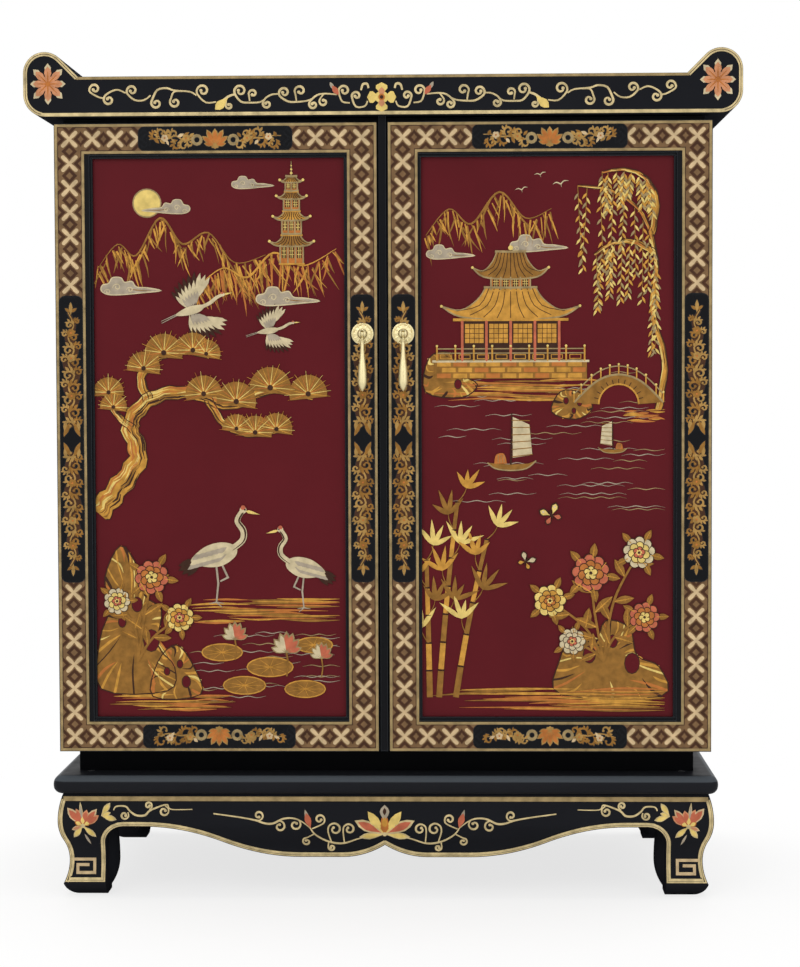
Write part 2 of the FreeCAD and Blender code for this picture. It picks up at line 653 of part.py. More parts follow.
stud_hole = rod(PULL_X, DOOR_Y, PULL_Z, "stud_radius + fit_gap", "door_thickness", BACKWARD)
nut_y = f"({DOOR_BACK_Y} - nut_sink - nut_height)"
nut_hole = rod(PULL_X, nut_y, PULL_Z, "nut_radius + nut_room", "nut_height + nut_sink", BACKWARD)
inner_stile = stile(inner_stile_x, "meeting_width")
pair("{}_door_inner_stile", less(inner_stile, groove, *mortises, stud_hole, nut_hole))

bead_y = f"({DOOR_Y} + bead_recess)"
bead_depth = "(panel_recess - bead_recess)"
bead_high = f"({opening_z} + {opening_height} - bead_width)"
bead_right = f"({inner_stile_x} - bead_width)"
bead_tall = f"({opening_height} - 2*bead_width)"
bead_strips = [
    block(outer_stile_in, bead_y, z, opening_width, bead_depth, "bead_width")
    for z in (opening_z, bead_high)
]
bead_strips += [
    block(x, bead_y, f"{opening_z} + bead_width", "bead_width", bead_depth, bead_tall)
    for x in (outer_stile_in, bead_right)
]
pair("{}_door_bead", together(*bead_strips))

# Hinges: the case leaf carries the end knuckles, the door leaf the middle one
knuckle = "((hinge_length - 2*knuckle_gap)/3)"


def hinge_leaf(z, plate_y, knuckle_feet, screw_holes):
    plate_x = f"(-{CASE_HALF} + leaf_clear)"
    plate = block(plate_x, plate_y, f"{z} - hinge_length/2", "leaf_width", "leaf_thickness", "hinge_length")
    parts = [plate]
    for foot in knuckle_feet:
        parts.append(block(HINGE_X, plate_y, foot, f"{plate_x} - {HINGE_X}", "leaf_thickness", knuckle))
        parts.append(rod(HINGE_X, HINGE_Y, foot, "barrel_radius", knuckle))
    bore = rod(HINGE_X, HINGE_Y, f"{z} - hinge_length/2", "hinge_pin_radius + running_gap", "hinge_length")
    return less(joined(*parts), bore, *screw_holes)


case_leaves, door_leaves, hinge_pins = [], [], []
for z in hinge_levels:
    low_foot = f"({z} - hinge_length/2)"
    middle_foot = f"({z} - {knuckle}/2)"
    high_foot = f"({z} + hinge_length/2 - {knuckle})"
    case_leaves.append(hinge_leaf(z, case_leaf_face, [low_foot, high_foot], case_screw_holes))
    door_leaves.append(hinge_leaf(z, DOOR_BACK_Y, [middle_foot], door_screw_holes))
    pin_length = "hinge_length + 2*hinge_pin_end"
    hinge_pins.append(rod(HINGE_X, HINGE_Y, f"{low_foot} - hinge_pin_end", "hinge_pin_radius", pin_length))
piece("case_hinge_leaves", together(*case_leaves, *[flipped(thing) for thing in case_leaves]))
piece("hinge_pins", together(*hinge_pins, *[flipped(thing) for thing in hinge_pins]))
pair("{}_door_hinge_leaves", together(*door_leaves))

# Pulls: a rosette, a slotted boss on a stud, a cross pin and the hanging drop
pull_spot = (PULL_X, DOOR_Y, PULL_Z)
rosette_outline = [
    ("stud_radius + fit_gap", "0"),
    ("rosette_radius", "0"),
    ("rosette_radius", "rosette_thickness*0.4"),
    ("rosette_radius*0.85", "rosette_thickness*0.8"),
    ("rosette_radius*0.75", "rosette_thickness*0.6"),
    ("boss_radius + fit_gap", "rosette_thickness"),
    ("stud_radius + fit_gap", "rosette_thickness"),
]
pair("{}_pull_rosette", turned(rosette_outline, pull_spot, FORWARD))

boss_dome = "(boss_reach - drop_axis_reach)"
boss_outline = [
    ("0", "-(door_thickness - nut_sink)"),
    ("stud_radius", "-(door_thickness - nut_sink)"),
    ("stud_radius", "rosette_thickness"),
    ("boss_radius", "rosette_thickness"),
    ("boss_radius", "drop_axis_reach"),
    ("0", "boss_reach", "left", arc_radius("boss_radius", boss_dome)),
]
slot_half = "(drop_eye_width/2 + slot_clear)"
slot_depth = f"({boss_dome} + drop_eye_radius + slot_clear)"
slot = block(
    f"{PULL_X} - {slot_half}", f"{DOOR_Y} - boss_reach", f"{PULL_Z} - boss_radius",
    f"2*{slot_half}", slot_depth, "boss_radius + drop_eye_radius + slot_clear",
)
drop_axis_y = f"({DOOR_Y} - drop_axis_reach)"
pin_half = "(boss_radius - drop_pin_inset)"
pin_hole = rod(
    f"{PULL_X} - {pin_half}", drop_axis_y, PULL_Z, "drop_pin_radius + running_gap", f"2*{pin_half}", RIGHTWARD
)
pair("{}_pull_boss", less(turned(boss_outline, pull_spot, FORWARD), slot, pin_hole))
drop_pin = rod(f"{PULL_X} - {pin_half}", drop_axis_y, PULL_Z, "drop_pin_radius", f"2*{pin_half}", RIGHTWARD)
pair("{}_pull_pin", drop_pin)

collar_top = "(-boss_radius - drop_collar_gap)"
collar_foot = f"({collar_top} - drop_collar_radius)"
drop_wide = "(-drop_length + drop_tip_length)"
neck_run = f"(({collar_foot} - {drop_wide})/2)"
neck_rise = "((drop_radius - drop_neck_radius)/2)"
neck_radius = arc_radius(neck_run, neck_rise)
drop_outline = [
    ("0", "-drop_length"),
    ("drop_radius", drop_wide, "left", arc_radius("drop_tip_length", "drop_radius")),
    (halfway("drop_radius", "drop_neck_radius"), halfway(drop_wide, collar_foot), "left", neck_radius),
    ("drop_neck_radius", collar_foot, "right", neck_radius),
    ("drop_collar_radius", f"{collar_foot} + drop_collar_radius*0.4"),
    ("drop_collar_radius", f"{collar_foot} + drop_collar_radius*0.7"),
    ("drop_stem_radius", collar_top),
    ("drop_stem_radius", "-drop_pin_radius - 2*running_gap"),
    ("0", "-drop_pin_radius - 2*running_gap"),
]
drop_axis = (PULL_X, drop_axis_y, PULL_Z)
drop_eye = rod(
    f"{PULL_X} - drop_eye_width/2", drop_axis_y, PULL_Z, "drop_eye_radius", "drop_eye_width", RIGHTWARD
)
eye_bore = rod(
    f"{PULL_X} - drop_eye_width/2", drop_axis_y, PULL_Z,
    "drop_pin_radius + running_gap", "drop_eye_width", RIGHTWARD,
)
pair("{}_pull_drop", less(joined(turned(drop_outline, drop_axis), drop_eye), eye_bore))

nut_body = doc.addObject("Part::Prism", "nut")
nut_body.Polygon = 6
bind(nut_body, "Circumradius", "nut_radius")
bind(nut_body, "Height", "nut_height")
place(nut_body, PULL_X, nut_y, PULL_Z, BACKWARD)
nut_bore = rod(PULL_X, nut_y, PULL_Z, "stud_radius + running_gap", "nut_height", BACKWARD)
pair("{}_pull_nut", less(nut_body, nut_bore))

# Magnetic catches under the inner top, and their plates on the doors
catch_z = f"({CEILING_Z} - catch_height)"
catch = block(
    "-catch_offset - catch_length", f"{CASE_Y} - catch_proud", catch_z,
    "catch_length", "catch_depth", "catch_height",
)
piece("magnetic_catches", together(catch, flipped(catch)))
strike = block(
    "-catch_offset - catch_length/2 - strike_length/2", DOOR_BACK_Y,
    f"{catch_z} + catch_height/2 - strike_height/2", "strike_length", "strike_thickness", "strike_height",
)
pair("{}_strike_plate", strike)

# Waist: a frame set back under the case
long_rail_front = block(
    f"-{WAIST_HALF}", waist_front_y, WAIST_Z, f"2*{WAIST_HALF}", "waist_thickness", "waist_height"
)
long_rail_back = block(
    f"-{WAIST_HALF}", f"{waist_back_y} - waist_thickness", WAIST_Z,
    f"2*{WAIST_HALF}", "waist_thickness", "waist_height",
)
waist_holes = holes(waist_top_spots) + holes(waist_foot_spots)
piece("waist_front_rail", less(long_rail_front, *waist_holes))
piece("waist_back_rail", less(long_rail_back, *waist_holes))
short_rail = block(
    f"-{WAIST_HALF}", f"{waist_front_y} + waist_thickness", WAIST_Z,
    "waist_thickness", f"{waist_back_y} - {waist_front_y} - 2*waist_thickness", "waist_height",
)
pair("waist_{}_rail", short_rail)

# Stand board with rounded edges
board_half = f"({STAND_HALF} + board_overhang)"
board_depth = f"({STAND_DEPTH} + 2*board_overhang)"
board_outline = [("0", "0"), (f"2*{board_half}", "0"), (f"2*{board_half}", board_depth), ("0", board_depth)]
board = prism(
    "XY_Plane", board_outline, "board_thickness", (f"-{board_half}", f"{STAND_Y} - board_overhang", BOARD_Z)
)
doc.recompute()


def rounded(body, radius, wanted):
    """Rounds the edges whose middle the test picks."""
    base = body.Tip
    names = [f"Edge{n}" for n, edge in enumerate(base.Shape.Edges, 1) if wanted(edge)]
    fillet = body.newObject("PartDesign::Fillet", "rounded")
    fillet.Base = (base, names)
    bind(fillet, "Radius", radius)
    doc.recompute()


def level_edge(height):
    """A test for an edge that lies flat at a height above the foot of the board."""
    return lambda edge: edge.BoundBox.ZLength < NEARLY and abs(edge.BoundBox.ZMax - height) < NEARLY


NEARLY = 0.01
thickness = number("board_thickness")
rounded(board, "board_corner", lambda edge: edge.BoundBox.ZLength > thickness / 2)
rounded(board, "board_top_round", level_edge(thickness))
rounded(board, "board_thickness - board_top_round - board_edge_flat", level_edge(0))
piece("stand_board", less(board, *holes(waist_foot_spots), *stand_screws("fit_gap")))

# Legs: an S-curve on the front face and on the side face, brackets for the aprons, a round hoof behind
sway_run = "((knee_height - ankle_height)/2)"
sway_rise = "(ankle_inset/2)"
knee_curve = [
    ("knee_inset", "stand_height"),
    ("0", "knee_height", "left", arc_radius("stand_height - knee_height", "knee_inset")),
    ("ankle_inset/2", halfway("knee_height", "ankle_height"), "left", arc_radius(sway_run, sway_rise)),
    ("ankle_inset", "ankle_height", "right", arc_radius(sway_run, sway_rise)),
]
leg_outline = [
    ("leg_width", "0"),
    ("leg_width", "arch_height - spandrel_radius"),
    ("leg_width + spandrel_radius", "arch_height", "right", "spandrel_radius"),
    ("ear_reach", "arch_height"),
    ("ear_reach", "stand_height"),
    *knee_curve,
    ("toe_inset", "toe_height", "right", arc_radius("ankle_height - toe_height", "ankle_inset - toe_inset")),
    ("sole_inset", "0", "left", arc_radius("sole_inset - toe_inset", "toe_height")),
]
leg_spot = (f"-{STAND_HALF}", STAND_Y, "0")
leg_front = prism("XZ_Plane", leg_outline, "ear_reach", leg_spot)
leg_flank = prism("YZ_Plane", leg_outline, "ear_reach", leg_spot)
leg_x, leg_y = f"(-{STAND_HALF})", STAND_Y
inner_waste = [
    block(f"{leg_x} + leg_width", f"{leg_y} + ear_thickness", "0", "ear_reach", "ear_reach", "stand_height"),
    block(f"{leg_x} + ear_thickness", f"{leg_y} + leg_width", "0", "ear_reach", "ear_reach", "stand_height"),
]
hoof_radius_above = arc_radius("stand_height - hoof_height", "hoof_radius - hoof_waist")
hoof_outline = [
    ("0", "0"),
    ("hoof_sole", "0"),
    ("hoof_radius", "hoof_height", "left", arc_radius("hoof_height", "hoof_radius - hoof_sole")),
    ("hoof_waist", "stand_height", "left", hoof_radius_above),
    ("0", "stand_height"),
]
hoof = turned(hoof_outline, (f"{leg_x} + hoof_centre", f"{leg_y} + hoof_centre", "0"))

apron_tenon_z = "(arch_height + apron_tenon_margin)"
apron_tenon_tall = "(stand_height - arch_height - 2*apron_tenon_margin)"


def long_tenons(slack="0"):
    """The tenons of the front apron as one bar through it, or with slack their mortises."""
    return block(
        f"{leg_x} + ear_reach - apron_tenon - {slack}", f"{leg_y} + apron_tenon_setback - {slack}",
        f"{apron_tenon_z} - {slack}", f"2*({STAND_HALF} - ear_reach + apron_tenon + {slack})",
        f"apron_tenon_thickness + 2*{slack}", f"{apron_tenon_tall} + 2*{slack}",
    )


def short_tenons(slack="0"):
    """The tenons of the left apron as one bar through it, or with slack their mortises."""
    return block(
        f"{leg_x} + apron_tenon_setback - {slack}", f"{leg_y} + ear_reach - apron_tenon - {slack}",
        f"{apron_tenon_z} - {slack}", f"apron_tenon_thickness + 2*{slack}",
        f"{STAND_DEPTH} - 2*(ear_reach - apron_tenon) + 2*{slack}", f"{apron_tenon_tall} + 2*{slack}",
    )


leg_shell = joined(less(shared(leg_front, leg_flank), *inner_waste), hoof)
leg = less(leg_shell, long_tenons("fit_gap"), short_tenons("fit_gap"), *stand_screws("fit_gap"))
pair("front_{}_leg", leg)
pair("back_{}_leg", front_to_back(leg))

# Aprons: the knee's curve carried along, cut to a lobed outline
apron_section = [
    ("apron_thickness", "ankle_height"),
    ("apron_thickness", "stand_height"),
    *knee_curve,
]


def ogee(x0, y0, x1, y1, first, second):
    """Two arcs that leave and arrive level."""
    run, rise = f"(abs({x1} - {x0})/2)", f"(abs({y1} - {y0})/2)"
    radius = arc_radius(run, rise)
    return [(halfway(x0, x1), halfway(y0, y1), first, radius), (x1, y1, second, radius)]


apron_half = f"({STAND_HALF} - ear_reach)"
notch_radius = arc_radius("apron_notch_half", "apron_notch - apron_low")
apron_outline = [
    ("0", "stand_height"),
    ("0", "arch_height"),
    ("apron_flat", "arch_height"),
    *ogee("apron_flat", "arch_height", f"({apron_half} - apron_lobe_half)", "apron_low", "right", "left"),
    (f"{apron_half} - apron_notch_half", "apron_low"),
    (apron_half, "apron_notch", "left", notch_radius),
    (f"{apron_half} + apron_notch_half", "apron_low", "left", notch_radius),
    (f"{apron_half} + apron_lobe_half", "apron_low"),
    *ogee(
        f"({apron_half} + apron_lobe_half)", "apron_low",
        f"(2*{apron_half} - apron_flat)", "arch_height", "left", "right",
    ),
    (f"2*{apron_half}", "arch_height"),
    (f"2*{apron_half}", "stand_height"),
]
long_spot = (f"-{apron_half}", STAND_Y, "0")
long_apron = shared(
    prism("XZ_Plane", apron_outline, "apron_thickness", long_spot),
    prism("YZ_Plane", apron_section, f"2*{apron_half}", long_spot),
)
front_apron = piece("front_apron", joined(long_apron, long_tenons()))
piece("back_apron", front_to_back(front_apron))

side_half = f"({STAND_DEPTH}/2 - ear_reach)"
side_outline = [
    ("0", "stand_height"),
    ("0", "arch_height"),
    ("apron_flat", "arch_height"),
    *ogee("apron_flat", "arch_height", f"({side_half} - side_lobe_half)", "side_apron_low", "right", "left"),
    (f"{side_half} + side_lobe_half", "side_apron_low"),
    *ogee(
        f"({side_half} + side_lobe_half)", "side_apron_low",
        f"(2*{side_half} - apron_flat)", "arch_height", "left", "right",
    ),
    (f"2*{side_half}", "arch_height"),
    (f"2*{side_half}", "stand_height"),
]
side_spot = (f"-{STAND_HALF}", f"{STAND_Y} + ear_reach", "0")
short_apron = shared(
    prism("YZ_Plane", side_outline, "apron_thickness", side_spot),
    prism("XZ_Plane", apron_section, f"2*{side_half}", side_spot),
)
pair("{}_apron", joined(short_apron, short_tenons()))

# Check every object, then write one file for each piece
doc.recompute()
for thing in doc.Objects:
    if "Invalid" in thing.State or "Error" in thing.State:
        raise RuntimeError(f"{thing.Label} did not compute: {thing.State}")
os.makedirs("parts", exist_ok=True)
for thing in PIECES:
    shape = thing.Shape
    if shape.isNull() or not shape.isValid() or not shape.Solids:
        raise RuntimeError(f"{thing.Label} has no sound solid")
    shape.exportStep(f"parts/{thing.Label}.step")
print(len(PIECES), "pieces written")
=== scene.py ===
# A lacquered cabinet on stand: finishes for its pieces, the painted ornament in low relief, and a studio.
# A drawing is in millimetres on one face, across and up, and each stroke stands a little proud of the face.
import math
import random

import bmesh
import bpy
from mathutils import Matrix, Vector
from mathutils.bvhtree import BVHTree
from mathutils.geometry import tessellate_polygon


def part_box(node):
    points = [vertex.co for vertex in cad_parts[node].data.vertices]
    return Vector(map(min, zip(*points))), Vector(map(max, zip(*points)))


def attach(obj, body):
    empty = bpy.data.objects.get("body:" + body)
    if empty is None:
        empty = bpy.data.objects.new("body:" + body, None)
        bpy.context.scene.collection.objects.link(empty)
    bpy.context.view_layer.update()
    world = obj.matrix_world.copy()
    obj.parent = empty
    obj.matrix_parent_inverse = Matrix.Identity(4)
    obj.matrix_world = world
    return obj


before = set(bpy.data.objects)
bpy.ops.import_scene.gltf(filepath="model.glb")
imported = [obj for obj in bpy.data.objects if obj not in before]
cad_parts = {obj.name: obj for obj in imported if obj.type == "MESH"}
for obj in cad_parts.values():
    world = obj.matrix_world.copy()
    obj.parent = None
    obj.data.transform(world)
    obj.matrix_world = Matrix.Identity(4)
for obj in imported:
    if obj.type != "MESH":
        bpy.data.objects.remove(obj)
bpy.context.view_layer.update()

bl_info = {
    "name": "Lacquered cabinet on stand",
    "version": (1, 0, 0),
    "blender": (4, 5, 0),
    "location": "View3D > Sidebar > Cabinet",
    "description": "Finishes and paints a lacquered two-door cabinet on a low stand",
    "category": "Object",
}

MM = 0.001


# Settings that a user would change


def linear(code):
    """An sRGB hex colour as linear red, green, blue and alpha."""
    shares = [int(code[i : i + 2], 16) / 255 for i in (1, 3, 5)]
    return (*[s / 12.92 if s <= 0.04045 else ((s + 0.055) / 1.055) ** 2.4 for s in shares], 1.0)


def colour(name, description, code):
    """A colour property whose default is given as an sRGB hex colour."""
    return bpy.props.FloatVectorProperty(
        name=name, description=description, subtype="COLOR", size=4, min=0, max=1, default=linear(code)
    )


def length(name, description, size):
    """A length property whose default is given in millimetres."""
    return bpy.props.FloatProperty(
        name=name, description=description, unit="LENGTH", precision=5, min=0, default=size * MM
    )


class CabinetColours(bpy.types.PropertyGroup):
    """Colours of the lacquers, paints and metals"""

    black: colour("Black lacquer", "Case, door frames and cartouches", "#121316")
    # The case's black lacquer made matte, its colour lightened to hold a painted sheen
    dull_black: colour("Dull black lacquer", "Cornice, legs, aprons and the stand's board", "#212226")
    # The case's black lacquer darkened as painted shade, for the waist
    deep_black: colour("Deep black lacquer", "The waist, always in shade", "#0B0C0E")
    # A pale tone painted as a highlight on the board's upper round
    painted_highlight_tone: colour("Slate sheen", "Upper round of the stand's board", "#44494E")
    red: colour("Red lacquer", "Ground of the pictures", "#5E181F")
    gilt: colour("Gilt", "Straight lines of the ornament, and edges in the pictures", "#A08A60")
    cream: colour("Cream gilt", "Vines, and lines of the cornice and stand", "#D0BC8C")
    gold: colour("Gold", "Main colour of the pictures", "#C9933F")
    old_gold: colour("Old gold", "Shaded gold", "#94692F")
    orange: colour("Orange", "Warm shade of the gold", "#B87034")
    yellow: colour("Yellow", "Petals and leaves", "#E2C672")
    ivory: colour("Ivory", "Birds, clouds and blossoms", "#CDBD98")
    bone: colour("Bone", "Crosses of the diaper, frets and rims of petals", "#CDB38A")
    bronze: colour("Bronze", "Leaf scrolls of the cartouches", "#A98449")
    salmon: colour("Salmon", "Rosettes, and petals on the cornice and stand", "#CB8C64")
    grey: colour("Ash grey", "Feathers, water and pale leaves", "#A99C88")
    coral: colour("Coral", "Lotuses, peonies and buds", "#BE664A")
    umber: colour("Umber", "Dark lines", "#3B2216")
    tan: colour("Tan", "Ground of the diaper", "#785C3E")
    russet: colour("Russet", "Dark lozenges of the diaper, and the ground of the stiles' vines", "#462B1A")
    brass: colour("Brass", "Pulls and hinges", "#E8DAAA")
    steel: colour("Steel", "Screws, nuts and strike plates", "#B4B6B8")
    beech: colour("Beech", "Dowels and pegs", "#C79E6B")
    stain: colour("Stained wood", "Shelves", "#3A2118")
    plastic: colour("Brown plastic", "Catches", "#2B211B")


class CabinetSizes(bpy.types.PropertyGroup):
    """Sizes of the ornament and of the eased edges"""

    lift: length("Paint lift", "Height of a raised stroke", 0.4)
    gilt_width: length("Gilt line", "Width of the lines round the door frames", 2.8)
    vine_width: length("Vine", "Width of the vine scrolls", 2.5)
    band_width: length("Band", "Painted band along the edges of a door", 32.4)
    diaper_pitch: length("Diaper pitch", "From cross to cross", 26.1)
    rail_cartouche: length("Rail cartouche", "Length of the cartouches on the rails", 166)
    stile_cartouche: length("Stile cartouche", "Length of the cartouches on the stiles", 310)
    bead_width: length("Bead", "Bead between the frame and the picture", 3)
    edge_round: length("Eased edges", "Rounding of the wooden edges", 1.2)
    fret: length("Fret", "Key fret on the feet", 18.5)


# Finishes


def per_metre(size):
    """Pattern repeats in a metre, from the size of one in millimetres."""
    return 1 / (size * MM)


def add_node(tree, kind, inputs=None, **settings):
    """Adds a node, sets it up, and fills or links its inputs."""
    made = tree.nodes.new(kind)
    for name, value in settings.items():
        setattr(made, name, value)
    for socket, value in (inputs or {}).items():
        if isinstance(value, bpy.types.NodeSocket):
            tree.links.new(value, made.inputs[socket])
        else:
            made.inputs[socket].default_value = value
    return made


def blank(name):
    """A material with a bare shader, and where on the piece a point is, in metres."""
    material = bpy.data.materials.new(name)
    material.use_nodes = True
    tree = material.node_tree
    tree.nodes.clear()
    shader = add_node(tree, "ShaderNodeBsdfPrincipled")
    add_node(tree, "ShaderNodeOutputMaterial", {"Surface": shader.outputs["BSDF"]})
    where = add_node(tree, "ShaderNodeTexCoord").outputs["Object"]
    return material, tree, shader, where


def shade(code, share):
    """A colour made darker or lighter by a share."""
    return (*[min(1.0, part * share) for part in code[:3]], 1.0)


def painted_crown_highlight(tree, normal, skin, tone):
    """A painted highlight on a moulding's upper round, where the surface leans back but isn't level."""
    steep, leaning, flat, level = 0.3, 0.42, 0.95, 0.99
    lean = add_node(tree, "ShaderNodeSeparateXYZ", {0: normal}).outputs["Z"]
    above = add_node(tree, "ShaderNodeMapRange", {"Value": lean, 1: steep, 2: leaning, 3: 0, 4: 1})
    below = add_node(tree, "ShaderNodeMapRange", {"Value": lean, 1: flat, 2: level, 3: 1, 4: 0})
    both = add_node(
        tree, "ShaderNodeMath", {0: above.outputs[0], 1: below.outputs[0]}, operation="MULTIPLY"
    )
    crown = add_node(tree, "ShaderNodeMix", {0: both.outputs[0], 6: skin, 7: tone}, data_type="RGBA")
    return crown.outputs[2]


def lacquer(name, base, gloss, shine, edge_wear_and_highlight, crown=None):
    """Sprayed lacquer cut back by rubbing: cloudy depth, a faint ripple, edges paler from wear and a painted
    highlight.
    """
    cloud_size, ripple_size, haze_size = 70, 5, 22
    edge_width, ripple_height = 1.6 * MM, 0.03 * MM
    material, tree, shader, where = blank(name)
    cloud = add_node(
        tree, "ShaderNodeTexNoise", {"Vector": where, "Scale": per_metre(cloud_size), "Detail": 5}
    )
    body = add_node(
        tree, "ShaderNodeMix", {0: cloud.outputs["Fac"], 6: base, 7: shade(base, 0.75)}, data_type="RGBA"
    )
    soft = add_node(tree, "ShaderNodeBevel", {"Radius": edge_width}, samples=4)
    true = add_node(tree, "ShaderNodeNewGeometry").outputs["Normal"]
    turn = add_node(tree, "ShaderNodeVectorMath", {0: soft.outputs[0], 1: true}, operation="DOT_PRODUCT")
    # Paler colour at the edges: wear, and on the satin black also a painted highlight
    edge_wear_and_highlight_mask = add_node(
        tree, "ShaderNodeMapRange", {"Value": turn.outputs["Value"], 1: 0.99, 2: 0.85, 3: 0, 4: 0.5}
    )
    edge_wear_and_highlight_colour = add_node(
        tree, "ShaderNodeMix", {0: edge_wear_and_highlight_mask.outputs[0], 6: body.outputs[2], 7: edge_wear_and_highlight}, data_type="RGBA"
    )
    # Where a crown tone is given, it is painted on upper rounds as a highlight
    skin = painted_crown_highlight(tree, true, edge_wear_and_highlight_colour.outputs[2], crown) if crown else edge_wear_and_highlight_colour.outputs[2]
    tree.links.new(skin, shader.inputs["Base Color"])
    haze = add_node(
        tree, "ShaderNodeTexNoise", {"Vector": where, "Scale": per_metre(haze_size), "Detail": 6}
    )
    polish = add_node(
        tree,
        "ShaderNodeMapRange",
        {"Value": haze.outputs["Fac"], 1: 0.3, 2: 0.7, 3: gloss - 0.05, 4: gloss + 0.07},
    )
    tree.links.new(polish.outputs[0], shader.inputs["Roughness"])
    ripple = add_node(
        tree, "ShaderNodeTexNoise", {"Vector": where, "Scale": per_metre(ripple_size), "Detail": 3}
    )
    bump = add_node(
        tree,
        "ShaderNodeBump",
        {"Height": ripple.outputs["Fac"], "Distance": ripple_height, "Strength": 0.6},
    )
    tree.links.new(bump.outputs[0], shader.inputs["Normal"])
    shader.inputs["Specular IOR Level"].default_value = shine
    return material


def paint(name, base, metallic, roughness, depth=0.62):
    """Brushed-on paint or bronze powder: it thins and thickens along the brush, and has a fine grain.

    The grain is coarser than that of real powder, so that it shows.
    """
    daub_size, grain_size, grain_height = 9, 0.9, 0.06 * MM
    material, tree, shader, where = blank(name)
    daub = add_node(
        tree, "ShaderNodeTexNoise", {"Vector": where, "Scale": per_metre(daub_size), "Detail": 4}
    )
    cover = add_node(
        tree, "ShaderNodeMapRange", {"Value": daub.outputs["Fac"], 1: 0.32, 2: 0.72, 3: 0, 4: 1}
    )
    skin = add_node(
        tree,
        "ShaderNodeMix",
        {0: cover.outputs[0], 6: shade(base, 1.08), 7: shade(base, depth)},
        data_type="RGBA",
    )
    tree.links.new(skin.outputs[2], shader.inputs["Base Color"])
    grain = add_node(
        tree, "ShaderNodeTexNoise", {"Vector": where, "Scale": per_metre(grain_size), "Detail": 2}
    )
    bump = add_node(
        tree, "ShaderNodeBump", {"Height": grain.outputs["Fac"], "Distance": grain_height, "Strength": 0.5}
    )
    tree.links.new(bump.outputs[0], shader.inputs["Normal"])
    wear = add_node(
        tree,
        "ShaderNodeMapRange",
        {"Value": grain.outputs["Fac"], 1: 0.3, 2: 0.7, 3: roughness - 0.06, 4: roughness + 0.1},
    )
    tree.links.new(wear.outputs[0], shader.inputs["Roughness"])
    shader.inputs["Metallic"].default_value = metallic
    shader.inputs["Specular IOR Level"].default_value = 0.15
    return material


def metal(name, base, roughness, tarnish):
    """Polished or plated metal: soft tarnish in patches and fine rubbing marks, coarse enough to show."""
    patch_size, mark_size, mark_height = 14, 0.7, 0.012 * MM
    material, tree, shader, where = blank(name)
    patches = add_node(
        tree, "ShaderNodeTexNoise", {"Vector": where, "Scale": per_metre(patch_size), "Detail": 5}
    )
    skin = add_node(
        tree,
        "ShaderNodeMix",
        {0: patches.outputs["Fac"], 6: base, 7: shade(base, tarnish)},
        data_type="RGBA",
    )
    tree.links.new(skin.outputs[2], shader.inputs["Base Color"])
    marks = add_node(
        tree, "ShaderNodeTexNoise", {"Vector": where, "Scale": per_metre(mark_size), "Detail": 3}
    )
    polish = add_node(
        tree,
        "ShaderNodeMapRange",
        {"Value": marks.outputs["Fac"], 1: 0.3, 2: 0.7, 3: roughness - 0.05, 4: roughness + 0.1},
    )
    tree.links.new(polish.outputs[0], shader.inputs["Roughness"])
    bump = add_node(
        tree, "ShaderNodeBump", {"Height": marks.outputs["Fac"], "Distance": mark_height, "Strength": 0.5}
    )
    tree.links.new(bump.outputs[0], shader.inputs["Normal"])
    shader.inputs["Metallic"].default_value = 1.0
    return material


def wood(name, base, grain_way, roughness):
    """Planed wood: long grain that wanders, with darker pores drawn out along it."""
    grain_width, pore_width, pore_depth, stretch = 5, 1.2, 0.05 * MM, 0.06
    material, tree, shader, where = blank(name)
    squeeze = [stretch if letter == grain_way else 1.0 for letter in "XYZ"]
    drawn = add_node(tree, "ShaderNodeVectorMath", {0: where, 1: squeeze}, operation="MULTIPLY").outputs[0]
    grain = add_node(
        tree,
        "ShaderNodeTexNoise",
        {"Vector": drawn, "Scale": per_metre(grain_width), "Detail": 6, "Distortion": 0.6},
    )
    pores = add_node(
        tree, "ShaderNodeTexNoise", {"Vector": drawn, "Scale": per_metre(pore_width), "Detail": 2}
    )
    bands = add_node(
        tree,
        "ShaderNodeMix",
        {0: grain.outputs["Fac"], 6: shade(base, 1.25), 7: shade(base, 0.6)},
        data_type="RGBA",
    )
    dark = add_node(
        tree, "ShaderNodeMapRange", {"Value": pores.outputs["Fac"], 1: 0.55, 2: 0.75, 3: 0, 4: 0.6}
    )
    skin = add_node(
        tree,
        "ShaderNodeMix",
        {0: dark.outputs[0], 6: bands.outputs[2], 7: shade(base, 0.4)},
        data_type="RGBA",
    )
    tree.links.new(skin.outputs[2], shader.inputs["Base Color"])
    bump = add_node(
        tree, "ShaderNodeBump", {"Height": pores.outputs["Fac"], "Distance": pore_depth, "Strength": 0.4}
    )
    tree.links.new(bump.outputs[0], shader.inputs["Normal"])
    shader.inputs["Roughness"].default_value = roughness
    return material


def moulded_plastic(name, base):
    """Moulded plastic: an even colour with a fine spark-eroded grain, coarse enough to show."""
    grain_size, grain_height = 0.8, 0.04 * MM
    material, tree, shader, where = blank(name)
    grain = add_node(
        tree, "ShaderNodeTexNoise", {"Vector": where, "Scale": per_metre(grain_size), "Detail": 2}
    )
    skin = add_node(
        tree, "ShaderNodeMix", {0: grain.outputs["Fac"], 6: base, 7: shade(base, 0.8)}, data_type="RGBA"
    )
    tree.links.new(skin.outputs[2], shader.inputs["Base Color"])
    bump = add_node(
        tree, "ShaderNodeBump", {"Height": grain.outputs["Fac"], "Distance": grain_height, "Strength": 0.5}
    )
    tree.links.new(bump.outputs[0], shader.inputs["Normal"])
    shader.inputs["Roughness"].default_value = 0.45
    return material


